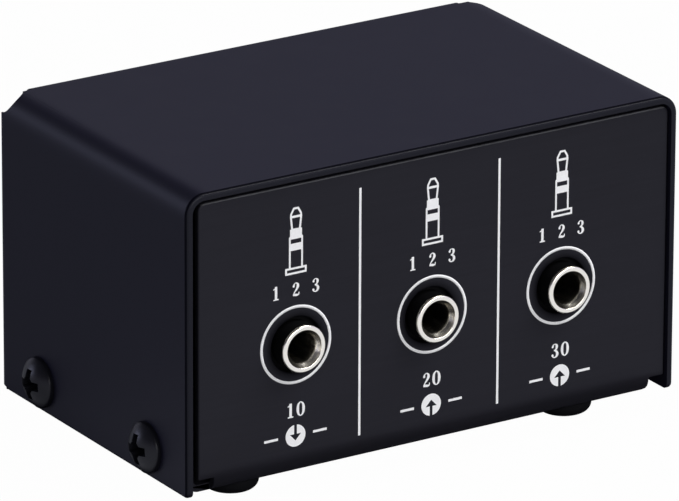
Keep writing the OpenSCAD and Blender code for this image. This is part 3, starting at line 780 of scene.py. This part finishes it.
@dataclass
class Studio:
    """White room, soft lamps and the camera at the photograph's angle, aimed from the cover's lower edge."""

    azimuth_deg: float = -32.397
    elevation_deg: float = 20.406
    roll_deg: float = 0.239
    target: Spot = (-0.000951, -0.007625, 0.018793)
    distance: float = 1.07704
    lens: float = 467.7
    sensor: float = 36.0
    clip: Point = (0.05, 50.0)
    floor_size: float = 6.0
    world_level: float = 0.24
    world_tint: Color = (0.97, 0.98, 1.0)
    sky_lean: float = -0.25
    sky_glow: Point = (0.32, 0.52)
    sky_dark: float = 0.08
    sky_tint: Color = (0.80, 0.80, 1.0)
    floor_tint: Color = (0.86, 0.89, 1.0)
    paper: Color = (0.40, 0.40, 0.40)
    glow_share: float = 0.985
    # The floor's glow in reflections gets a painted shadow round the box, of this shape and reach, and is dimmed
    # behind the box.
    shadow_shape: Spot = (3, 1, 0)
    shadow_reach: Point = (0.003, 0.014)
    floor_fade: Point = (-0.03, 0.03)
    floor_rear: float = 0.5
    aim: Spot = (0, 0, 0.02)

    def camera(self) -> None:
        """Sets up the camera."""
        yaw, pitch, roll = (math.radians(a) for a in (self.azimuth_deg, self.elevation_deg, self.roll_deg))
        back = Vector((math.sin(yaw) * math.cos(pitch), -math.cos(yaw) * math.cos(pitch), math.sin(pitch)))
        right = Vector((math.cos(yaw), math.sin(yaw), 0))
        up = back.cross(right)
        side = math.cos(roll) * right + math.sin(roll) * up
        top = back.cross(side)
        eye = Vector(self.target) + Vector((0, 0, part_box("cover")[0].z)) + self.distance * back
        lens = bpy.data.cameras.new("camera")
        lens.lens, lens.sensor_width, lens.sensor_fit = self.lens, self.sensor, "HORIZONTAL"
        lens.clip_start, lens.clip_end = self.clip
        made = Shop.link("camera", lens)
        made.matrix_world = Matrix.Translation(eye) @ Matrix((side, top, back)).transposed().to_4x4()
        bpy.context.scene.camera = made

    @staticmethod
    def seen(net: Net) -> Socket:
        """Gives a mask that is 1 for rays of the camera, of reflections and of glass."""
        first = net.math("MAXIMUM", net.ray("Camera"), net.ray("Glossy"))
        return net.math("MAXIMUM", first, net.ray("Transmission"))

    def world(self) -> None:
        """Lights the room evenly, with a white background that ends in a darker ceiling for reflections."""
        world = bpy.data.worlds.new("room")
        bpy.context.scene.world = world
        net = Net.bare(world)
        place, camera = net.place("Generated"), net.ray("Camera")
        height = net.math("MULTIPLY_ADD", net.part(place, "X"), self.sky_lean, net.part(place, "Z"))
        level = net.ramp(height, *self.sky_glow, 1.0, self.sky_dark)
        white = net.add("ShaderNodeBackground", {"Color": net.vector("MAXIMUM", self.sky_tint, camera),
                                                 "Strength": net.math("MAXIMUM", level, camera)})
        grey = net.add("ShaderNodeBackground", {"Color": (*self.world_tint, 1), "Strength": self.world_level})
        net.mixed(self.seen(net), grey, white, "ShaderNodeOutputWorld")

    def floor(self) -> None:
        """Lays the pale floor that takes the shadow; the glow that reflections see has a painted shadow round the box
        and is darker behind it.
        """
        bm = bmesh.new()
        bmesh.ops.create_grid(bm, x_segments=1, y_segments=1, size=self.floor_size / 2)
        made = Shop.obj("floor", bm)
        matter = bpy.data.materials.new("floor_paper")
        net = Net.bare(matter)
        low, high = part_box("cover")
        place, camera = net.place(), net.ray("Camera")
        # Painted shadow for reflections: the floor's glow fades out round the box's footprint and is dimmed behind the
        # box.
        beside = net.vector("ABSOLUTE", net.vector("SUBTRACT", place, (low + high) / 2))
        outside = net.vector("MAXIMUM", net.vector("SUBTRACT", beside, (high - low) / 2), (0, 0, 0))
        away = net.vector("LENGTH", net.vector("MULTIPLY", outside, self.shadow_shape))
        clear = net.ramp(away, *self.shadow_reach, 0.0, 1.0)
        rear = net.ramp(net.part(place, "Y"), *self.floor_fade, 1.0, self.floor_rear)
        mirrored = net.math("MULTIPLY", clear, rear)
        paper = net.add("ShaderNodeBsdfDiffuse", {"Color": (*self.paper, 1)})
        glow = net.add("ShaderNodeEmission", {"Color": net.vector("MAXIMUM", self.floor_tint, camera),
                                              "Strength": net.math("MAXIMUM", mirrored, camera)})
        net.mixed(net.math("MULTIPLY", self.seen(net), self.glow_share), paper, glow, "ShaderNodeOutputMaterial")
        made.data.materials.append(matter)

    def lamp(self, name: str, place: Spot, size: Point, watts: float, tint: Color = (1.0, 1.0, 1.0)) -> None:
        """Hangs one soft lamp that faces the box.

        Args:
            name: Name of the lamp.
            place: Where it hangs, in metres.
            size: Width and height in metres.
            watts: Power.
            tint: Colour of its light.
        """
        light = bpy.data.lights.new(name, "AREA")
        light.shape = "RECTANGLE"
        light.size, light.size_y = size
        light.energy = watts
        light.color = tint
        made = Shop.link(name, light)
        made.location = place
        made.rotation_euler = (Vector(self.aim) - Vector(place)).to_track_quat("-Z", "Y").to_euler()

    def build(self) -> None:
        """Sets the camera, the room and the lamps."""
        self.camera()
        self.world()
        self.floor()
        self.lamp("top_lamp", (0.55, -0.385, 0.90), (0.55, 0.55), 8.0)
        self.lamp("front_lamp", (0.10, -1.20, 0.40), (0.8, 0.5), 6.2)
        self.lamp("left_lamp", (-0.76, 0.79, 0.20), (0.36, 0.26), 1.75, (0.66, 0.70, 1.0))
        bpy.context.scene.view_settings.view_transform = "Standard"


@dataclass(frozen=True)
class Bend:
    """Bend of a sheet whose outer skin shades softly into the flats beside it.

    The knots are places along the skin in millimetres from the bend's start, each with the lean in degrees.
    """

    radius: float
    knots: tuple[Point, ...]
    skin: float = 0.05 * MM
    level: float = 0.02

    @property
    def before(self) -> float:
        """Gives how far the softness reaches before the bend."""
        return -self.knots[0][0] * MM

    @property
    def after(self) -> float:
        """Gives how far the softness reaches past the bend."""
        return self.knots[-1][0] * MM - self.radius * math.pi / 2

    def depth(self, first: float, second: float) -> float:
        """Gives a point's depth below the outer skin from its distances beyond the start and before the end."""
        return self.radius - (math.hypot(first, second) if min(first, second) > 0 else max(first, second))

    def along(self, first: float, second: float) -> float:
        """Gives a point's place along the outer skin from the same distances."""
        if first < 0:
            return first
        return self.radius * (math.pi / 2) - second if second < 0 else self.radius * math.atan2(first, second)

    def ease(self, sheet: Piece, axis: int, past: Callable[[Vector], Point],
             facing: Callable[[Vector, float], Spot]) -> None:
        """Leans the normals of a sheet's outer skin.

        Args:
            sheet: Sheet with the bend.
            axis: Axis that the bend runs along.
            past: Gives a point's distances beyond the bend's start and before its end.
            facing: Gives the normal at a point for a lean in radians.
        """
        places, leans = zip(*self.knots)

        def lean(face: bpy.types.MeshPolygon, place: Vector) -> Optional[Vector]:
            """Gives the leaning normal at a corner of the outer skin."""
            at = self.along(*past(place)) / MM
            outer = abs(face.normal[axis]) <= self.level and self.depth(*past(face.center)) <= self.skin
            if not outer or not places[0] < at < places[-1]:
                return None
            return Vector(facing(place, math.radians(np.interp(at, places, leans))))

        Shop.renormal(sheet, lean)


@dataclass
class FoldedCase:
    """Cover and chassis sheets with rounded, coated edges; the cover's rim has painted shade and a lit copy of the
    coat, and the jack panel's top edge a painted highlight.
    """

    cover_edge: float = 0.08 * MM
    rim_edge: float = 0.45 * MM
    rim_deep: float = 1.0 * MM
    rim_skin: float = 0.3 * MM
    rim_foot: float = 0.01 * MM
    rim_face: float = 0.5 * MM
    rim_shade_leans: Point = (-0.05, -0.7)
    chassis_edge: float = 0.04 * MM
    panel_edge: float = 0.20 * MM
    panel_deep: float = 1.2 * MM
    panel_foot: float = 1.8 * MM
    highlight_reach: float = 0.25 * MM
    highlight_leans: Point = (0.2, 0.9)
    ease_steps: int = 6
    bend: Bend = Bend(2.5 * MM, ((-1.2, 0.0), (-0.5, 3.5), (0.0, 9.0), (0.5, 18.5), (1.0, 34.0), (1.5, 46.5),
                                 (2.0, 56.0), (2.5, 63.3), (3.0, 69.8), (3.5, 75.2), (4.0, 79.6), (4.7, 84.2),
                                 (5.5, 88.0), (6.5, 90.0)))
    foot: Bend = Bend(1.7 * MM, ((-1.5, 0.0), (-0.9, 4.5), (-0.5, 12.0), (0.0, 28.0), (0.42, 38.0), (1.2, 45.0),
                                 (1.65, 56.0), (2.67, 90.0)))
    foot_free: float = 0.5 * MM

    def _past_bend(self, place: Vector) -> Point:
        """Gives a point's distances beyond the start and before the end of its long bend."""
        low, high = corners("cover")
        side = abs(place.x - (low.x + high.x) / 2) - (high.x - low.x) / 2 + self.bend.radius
        return side, place.z - high.z + self.bend.radius

    def _past_foot(self, place: Vector) -> Point:
        """Gives a point's distances beyond the start and before the end of the jack panel's lower bend."""
        low = corners("chassis")[0]
        return low.z + self.foot.radius - place.z, low.y + self.foot.radius - place.y

    def _on_rim(self, place: Vector) -> bool:
        """Tells whether a point lies on the outer edge of the open end or of the wings' feet."""
        low = corners("cover")[0]
        at_end = place.y < low.y + self.rim_deep or place.z < low.z + self.rim_foot
        return at_end and self.bend.depth(*self._past_bend(place)) < self.rim_skin

    def _on_panel(self, place: Vector) -> bool:
        """Tells whether a point lies on a panel, above the bend reliefs."""
        low, high = corners("chassis")
        return place.z > low.z + self.panel_foot and min(place.y - low.y, high.y - place.y) < self.panel_deep

    def _on_front(self, place: Vector) -> bool:
        """Tells whether a point lies on the jack panel's outer face."""
        return place.y < corners("chassis")[0].y + self.foot.skin

    def _bend_cuts(self) -> list[Plane]:
        """Gives the planes that split the top and the wings beside the long bends."""
        high, bend_r = corners("cover")[1], self.bend.radius
        shares = [i / self.ease_steps for i in range(1, self.ease_steps + 1)]
        wings = [((0, 0, high.z - bend_r - share * self.bend.after), (0, 0, 1)) for share in shares]
        return wings + [((sign * (high.x - bend_r - share * self.bend.before), 0, 0), (1, 0, 0))
                        for share in shares for sign in (-1, 1)]

    def _foot_cuts(self) -> list[Plane]:
        """Gives the planes that split the panel above its lower bend, clear of the reliefs' rounded edges."""
        start = corners("chassis")[0].z + self.foot.radius
        return [((0, 0, start + up), (0, 0, 1))
                for up in np.linspace(self.foot_free, self.foot.before, self.ease_steps)]

    def build(self) -> None:
        """Makes both sheets from their CAD nodes and dresses them."""
        cover = Shop.softened("cover", "cover_shell", self.cover_edge, 6, wide=self.rim_edge, where=self._on_rim,
                              cuts=self._bend_cuts())
        self.bend.ease(cover, 1, self._past_bend,
                       lambda place, lean: (math.copysign(math.sin(lean), place.x), 0, math.cos(lean)))
        Shop.dress(cover, COVER_COAT, RIM_SHADE_COAT, RIM_LIT_COAT)
        # The open end's faces get the powder coat, the painted shade copy on the rounding and the lit copy on the
        # front, by how far each leans forwards.
        for face in cover.data.polygons:
            if face.center.y < corners("cover")[0].y + self.rim_face:
                face.material_index = sum(face.normal.y < lean for lean in self.rim_shade_leans)
        Shop.hand_over(cover, CASE, "cover_coat", None, "cover")
        chassis = Shop.softened("chassis", "chassis_sheet", self.chassis_edge, 3, wide=self.panel_edge,
                                where=self._on_panel, cuts=self._foot_cuts(), cut=self._on_front)
        self.foot.ease(chassis, 0, self._past_foot, lambda _, lean: (0, -math.cos(lean), -math.sin(lean)))
        Shop.dress(chassis, PANEL_COAT, PANEL_EDGE_HIGHLIGHT)
        # Painted highlight on the jack panel's top edge: its faces that lean up and forwards get the paler paint.
        front, top = corners("chassis")[0].y, corners("chassis")[1].z
        for face in chassis.data.polygons:
            at_top = face.center.z > top - self.highlight_reach and face.center.y < front + self.highlight_reach
            face.material_index = int(at_top and self.highlight_leans[0] < face.normal.z < self.highlight_leans[1])
        Shop.hand_over(chassis, CASE, "panel_coat", None, "chassis")


@dataclass
class CoverScrews:
    """Four domed screws with a tapered cross recess."""

    head_d: float = 6.4 * MM
    head_h: float = 2.0 * MM
    brim: float = 0.6 * MM
    brim_edge: float = 0.12 * MM
    brim_slope: float = 0.3
    shank_d: float = 3.0 * MM
    shank_l: float = 5.0 * MM
    shank_edge: float = 0.2 * MM
    cross_l: float = 3.9 * MM
    cross_w: float = 1.15 * MM
    cross_deep: float = 1.9 * MM
    cross_over: float = 0.2 * MM
    wing_shares: tuple[Point, Point] = ((0.8, 0.75), (1.05, 1.0))
    tip_shares: Point = (0.62, 0.98)
    tip_rises: Point = (-0.35 * MM, 0.1 * MM)
    recess_edge: float = 0.07 * MM
    recess_deg: float = 38.0
    turns_deg: tuple[float, ...] = (6.0, 4.0, 51.0, 23.0)

    def _body(self) -> Piece:
        """Turns the head and shank about z, head upwards on z = 0."""
        rise = self.head_h - self.brim
        half, shank, edge = self.head_d / 2, self.shank_d / 2, self.brim_edge
        slope = edge * self.brim_slope
        dome = (half**2 + rise**2) / (2 * rise)
        reach = math.degrees(math.asin((half - slope) / dome))
        profile = [(0.0, -self.shank_l), (shank - self.shank_edge, -self.shank_l),
                   (shank, -self.shank_l + self.shank_edge), (shank, 0.0),
                   (half - edge, 0.0), (half - slope, slope), (half, edge), (half, self.brim - edge)]
        profile += Shop.arc((0.0, self.head_h - dome), dome, 90 - reach, 90, 14)[:-1]
        return Shop.turned("cover_screw", profile + [(0.0, self.head_h)], 72)

    def _span(self) -> Point:
        """Gives the heights of the lower and upper ends of the driver's tip."""
        return self.head_h - self.cross_deep, self.head_h + self.cross_over

    def _wing(self, turn_deg: float) -> Piece:
        """Makes one tapered bar of the driver's tip."""
        bm = bmesh.new()
        square = ((-1, -1), (1, -1), (1, 1), (-1, 1))
        low, top = ([bm.verts.new((sx * (long * self.cross_l) / 2, sy * (wide * self.cross_w) / 2, z))
                     for sx, sy in square] for z, (long, wide) in zip(self._span(), self.wing_shares))
        bm.faces.new(low)
        bm.faces.new(top)
        for i in range(4):
            bm.faces.new((low[i], low[i - 1], top[i - 1], top[i]))
        bmesh.ops.recalc_face_normals(bm, faces=bm.faces)
        bmesh.ops.rotate(bm, matrix=Matrix.Rotation(math.radians(turn_deg), 3, "Z"), verts=bm.verts)
        return Shop.obj("wing", bm)

    def _tip(self) -> Piece:
        """Makes the round core of the driver's tip."""
        low, top = self._span()
        inner, outer = (share * self.cross_w for share in self.tip_shares)
        profile = [(0.0, low + self.tip_rises[0]), (inner, low + self.tip_rises[1]), (outer, top), (0.0, top)]
        return Shop.turned("tip", profile, 32)

    def build(self) -> None:
        """Cuts one screw and sets out all four."""
        screw = self._body()
        cutters = [self._wing(0.0), self._wing(90.0), self._tip()]
        for cutter in cutters:
            Shop.modify(screw, cutter.name, "BOOLEAN", object=cutter, operation="DIFFERENCE", solver="EXACT")
        Shop.modify(screw, "round", "BEVEL", width=self.recess_edge, segments=2, limit_method="ANGLE",
                    angle_limit=math.radians(self.recess_deg), harden_normals=True)
        Shop.settle(screw)
        Shop.discard(*cutters)
        low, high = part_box("cover_screws")
        half, reach = self.head_d / 2, high.x - self.head_h
        spots = [(s, y) for s in (-1, 1) for y in (low.y + half, high.y - half)]
        places = [Vector((s * reach, y, (low.z + high.z) / 2)) for s, y in spots]
        spun = [Matrix.Rotation(s * math.pi / 2, 3, "Y") @ Matrix.Rotation(math.radians(a), 3, "Z")
                for (s, _), a in zip(spots, self.turns_deg)]
        turns = [Vector(turn.to_euler()) for turn in spun]
        piece = Copies.set_out("cover_screw_set", screw, BLACK_STEEL, places, turns)
        Shop.hand_over(piece, CASE, "black_steel", None, "cover_screws")


@dataclass
class RubberFeet:
    """Four round feet with a soft lower edge and a shallow hollow."""

    edge: float = 1.2 * MM
    hollow_r: float = 1.3 * MM
    hollow_edge: Point = (0.15 * MM, 0.1 * MM)
    hollow_deep: float = 0.35 * MM
    hollow_floor: float = 0.8

    def build(self) -> None:
        """Turns one foot and sets out all four on the record's mounts."""
        low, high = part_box("feet")
        tall = high.z - low.z
        mounts = [m["pos_m"] for m in frame["record"]["mounts"] if m["name"].startswith("foot_")]
        spots = sorted((Vector((x, y, 0.0)) for x, y, _ in mounts), key=lambda p: (p.x, p.y))
        half = spots[0].x - low.x
        profile = [(0.0, tall), (half, tall), *Shop.arc((half - self.edge, self.edge), self.edge, 0, -90, 10),
                   (self.hollow_r + self.hollow_edge[0], 0.0), (self.hollow_r, self.hollow_edge[1]),
                   (self.hollow_r * self.hollow_floor, self.hollow_deep), (0.0, self.hollow_deep)]
        foot = Shop.turned("foot", profile, 64)
        Shop.hand_over(Copies.set_out("foot_set", foot, FOOT_RUBBER, spots), CASE, "foot_rubber", None, "feet")


@dataclass
class Jack:
    """One 3.5 mm jack: bright turned nose on a black moulded body."""

    name: str
    bore_r: float = 1.8 * MM
    mouth_r: float = 2.38 * MM
    mouth_deep: float = 0.9 * MM
    mouth_flare: tuple[Point, ...] = ((0.0, 1.5), (0.04 * MM, 1.0), (0.20 * MM, 0.55))
    sleeve_r: float = 2.4 * MM
    ring_r: float = 3.0 * MM
    ring_t: float = 0.6 * MM
    ring_edge: float = 0.25 * MM
    back_edge: float = 0.08 * MM
    mouth_edge: float = 0.12 * MM

    def build(self) -> None:
        """Turns the nose and sets it on the case."""
        node = self.name + "_nose"
        low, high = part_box(node)
        long = high.y - low.y
        lip, back = self.mouth_r + self.mouth_edge, long - self.ring_t
        profile = [(self.sleeve_r, 0.0), (self.bore_r, 0.0)]
        profile += [(self.bore_r + wider, long - share * self.mouth_deep) for wider, share in self.mouth_flare]
        profile += Shop.arc((lip, long - self.mouth_edge), self.mouth_edge, 180, 90, 6)
        profile += Shop.arc((self.ring_r - self.ring_edge, long - self.ring_edge), self.ring_edge, 90, 0, 8)
        profile += [(self.ring_r, back + self.back_edge), (self.ring_r - self.back_edge, back), (self.sleeve_r, back)]
        axis = Vector(((low.x + high.x) / 2, 0.0, (low.z + high.z) / 2))
        turn = Matrix.Translation((axis.x, high.y, axis.z)) @ Matrix.Rotation(math.pi / 2, 4, "X")
        nose = Shop.turned(self.name + "_ring", profile, 112, turn=turn, smooth_deg=50.0)
        Shop.dress(nose, JACK_NICKEL, BORE_SHADE_AND_STREAKS)
        # Faces inside the mouth get the bore's painted shade and painted highlight streaks.
        for face in nose.data.polygons:
            off = Vector((face.center.x, 0.0, face.center.z)) - axis
            face.material_index = int(off.dot(face.normal) < 0 and off.length < self.mouth_r)
        Shop.hand_over(nose, CASE, "jack_nickel", None, node)


@dataclass
class JackPrint:
    """White print of the jack panel: rings, dividing lines, plug signs, arrows and plain figures."""

    columns: tuple[float, ...] = (-19.5, -0.15, 18.5)
    lift: float = field(default_factory=lambda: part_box("cover")[0].z / MM)
    ring_z: float = 16.64
    ring_r: float = 4.82
    ring_line: float = 0.36
    dividers: tuple[float, ...] = (-10.45, 9.4)
    divider_z: Point = (3.1, 34.8)
    divider_line: float = 0.31
    plug_z: float = 25.66
    plug_line: float = 0.25
    barrel_line: float = 0.24
    pin_z: float = 23.68
    pin_height: float = 1.75
    pin_step: float = 0.80
    figure_z: float = 8.28
    figure_height: float = 1.85
    figure_step: float = 0.78
    disc_z: float = 4.95
    disc_r: float = 1.4
    disc_steps: int = 56
    shaft: Point = (0.2, 0.2)
    barb: Point = (0.8, 0.22)
    arrow_tip: float = -0.63
    dash: Point = (2.48, 4.42)
    dash_line: float = 0.31
    figures: tuple[str, ...] = ("10", "20", "30")

    def _plug(self) -> Piece:
        """Draws the sign of a plug, tip upwards, with its foot on the origin."""
        ink = Ink(Side.JACK_END)
        ink.loop([(-1.38, 0.12), (1.38, 0.12), (1.38, 0.74), (-1.38, 0.74)], self.plug_line)
        ink.loop([(-0.86, 0.74), (0.86, 0.74), (0.86, 3.12), (-0.86, 3.12)], self.barrel_line)
        ink.area([(-0.98, 3.02), (0.98, 3.02), (0.98, 3.90), (-0.98, 3.90)])
        for s in (-1, 1):
            ink.area([(s * 0.98, 3.88), (s * 0.74, 3.88), (s * 0.74, 4.48), (s * 0.98, 4.48)])
        ink.area([(-0.98, 4.46), (0.98, 4.46), (0.98, 4.72), (0.83, 4.84), (0.83, 5.72), (-0.83, 5.72),
                  (-0.83, 4.84), (-0.98, 4.72)])
        ink.loop([(-0.54, 5.66), (0.54, 5.66), (0.72, 7.26), (-0.72, 7.26)], self.plug_line)
        ink.loop([(-0.72, 7.30), (0.72, 7.30), (0.70, 7.62), (0.30, 8.32), (-0.30, 8.32), (-0.70, 7.62)],
                 self.plug_line)
        return ink.done("plug_sign")

    def _arrow(self) -> Piece:
        """Draws the round sign with an open arrow that points down."""
        ink = Ink(Side.JACK_END)
        (half, top), (side, shoulder), steps = self.shaft, self.barb, self.disc_steps
        start = math.asin(half / self.disc_r)
        angles = [start + (2 * math.pi - 2 * start) * i / steps for i in range(steps + 1)]
        rim = [(self.disc_r * math.sin(a), self.disc_r * math.cos(a)) for a in angles]
        ink.area(rim + [(-half, top), (-side, shoulder), (0.0, self.arrow_tip), (side, shoulder), (half, top)])
        return ink.done("arrow_sign")

    def build(self) -> None:
        """Draws all signs and sets them out on the columns."""
        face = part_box("chassis")[0].y

        def spots(z: float, ahead: float = 0.0) -> list[Vector]:
            """Gives the columns' places at a height, and ahead of the panel."""
            return [Vector((x * MM, face - ahead, (z + self.lift) * MM)) for x in self.columns]

        lines = {"Radius": self.ring_r * MM, "Line": self.ring_line * MM, "Thick": Ink.height + Ink.sunk,
                 "Finish": PANEL_INK.material()}
        pieces = [Copies.grown("jack_rings", Copies.rings(), spots(self.ring_z, (Ink.height - Ink.sunk) / 2), lines)]
        dashes, pins, rest = (Ink(Side.JACK_END) for _ in range(3))
        for s in (-1, 1):
            dashes.line((s * self.dash[0], 0.0), (s * self.dash[1], 0.0), self.dash_line)
        pins.figures("1 2 3", (0.0, 0.0), self.pin_height, self.pin_step)
        flips = [Vector()] + [Vector((0, math.pi, 0))] * 2
        for name, sign, z, turns in (("plug_signs", self._plug(), self.plug_z, ()),
                                     ("arrow_signs", self._arrow(), self.disc_z, flips),
                                     ("dashes", dashes.done("dash"), self.disc_z, ()),
                                     ("pole_figures", pins.done("poles"), self.pin_z, ())):
            pieces.append(Copies.set_out(name, sign, PANEL_INK, spots(z), turns))
        for x in self.dividers:
            rest.line((x, self.divider_z[0] + self.lift), (x, self.divider_z[1] + self.lift), self.divider_line)
        for x, text in zip(self.columns, self.figures):
            rest.figures(text, (x, self.figure_z + self.lift), self.figure_height, self.figure_step)
        sheet = rest.done("column_figures")
        sheet.data.transform(Matrix.Translation((0, face, 0)))
        Shop.dress(sheet, PANEL_INK)
        pieces.append(sheet)
        for piece in pieces:
            Shop.hand_over(piece, CASE, "pointer_paint", None)


@dataclass
class DialPrint:
    """White print round the knob: an arc with a tick and a plain figure at each station."""

    arc_r: float = 12.3
    arc_deg: tuple[int, int, int] = (-30, 31, 3)
    arc_line: float = 0.35
    tick: Point = (12.1, 13.7)
    tick_line: float = 0.5
    figure_r: float = 14.9
    figure_aside: float = 1.45
    figure_height: float = 2.0
    figure_step: float = 0.78
    stations: dict[float, str] = field(default_factory=lambda: {-30.0: "20", 30.0: "30"})

    def build(self) -> None:
        """Draws the dial on the knob end."""
        joint = frame["joints"][0]
        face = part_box("switch_washer")[0].y
        ink = Ink(Side.KNOB_END)
        sweep = [math.radians(a) for a in range(*self.arc_deg)]
        ink.stroke([(self.arc_r * math.sin(a), self.arc_r * math.cos(a), self.arc_line / 2) for a in sweep])
        for angle, text in self.stations.items():
            lean = Vector((math.sin(math.radians(angle)), math.cos(math.radians(angle))))
            ink.line(tuple(lean * self.tick[0]), tuple(lean * self.tick[1]), self.tick_line)
            aside = math.radians(angle * self.figure_aside)
            spot = (self.figure_r * math.sin(aside), self.figure_r * math.cos(aside))
            ink.figures(text, spot, self.figure_height, self.figure_step)
        piece = ink.done("dial_print")
        piece.data.transform(Matrix.Translation((0, face, joint["pos_m"][2])))
        Shop.hand_over(piece, CASE, "pointer_paint", PANEL_INK)


@dataclass
class Selector:
    """Turning pieces: the fluted knob with rounded edges, and its line."""

    knob_edge: float = 0.14 * MM
    pointer_edge: float = 0.06 * MM

    def build(self) -> None:
        """Makes the knob and its line from their CAD nodes and dresses them."""
        for node, name, edge, slot in (("knob", "knob_grip", self.knob_edge, "knob_plastic"),
                                       ("knob_pointer", "knob_line", self.pointer_edge, "pointer_paint")):
            Shop.hand_over(Shop.softened(node, name, edge, 2), SELECTOR, slot, SLOT_FINISH[slot], node)


class PlainNodes:
    """CAD nodes whose shape stays: they get a finish by their slot."""

    @staticmethod
    def build() -> None:
        """Dresses every CAD node."""
        for part in frame["record"]["subparts"]:
            Shop.dress(frame["nodes"][part["node"]], SLOT_FINISH[part["material_slot"]])
            LOG.info("%s dressed as %s", part["node"], part["material_slot"])


def main() -> None:
    """Builds the pieces in order."""
    logging.basicConfig(level=logging.INFO, format="%(name)s: %(message)s")
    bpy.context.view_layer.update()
    Studio().build()
    PlainNodes.build()
    FoldedCase().build()
    CoverScrews().build()
    RubberFeet().build()
    for name in JACKS:
        Jack(name).build()
    JackPrint().build()
    DialPrint().build()
    Selector().build()


if __name__ == "__main__":
    main()
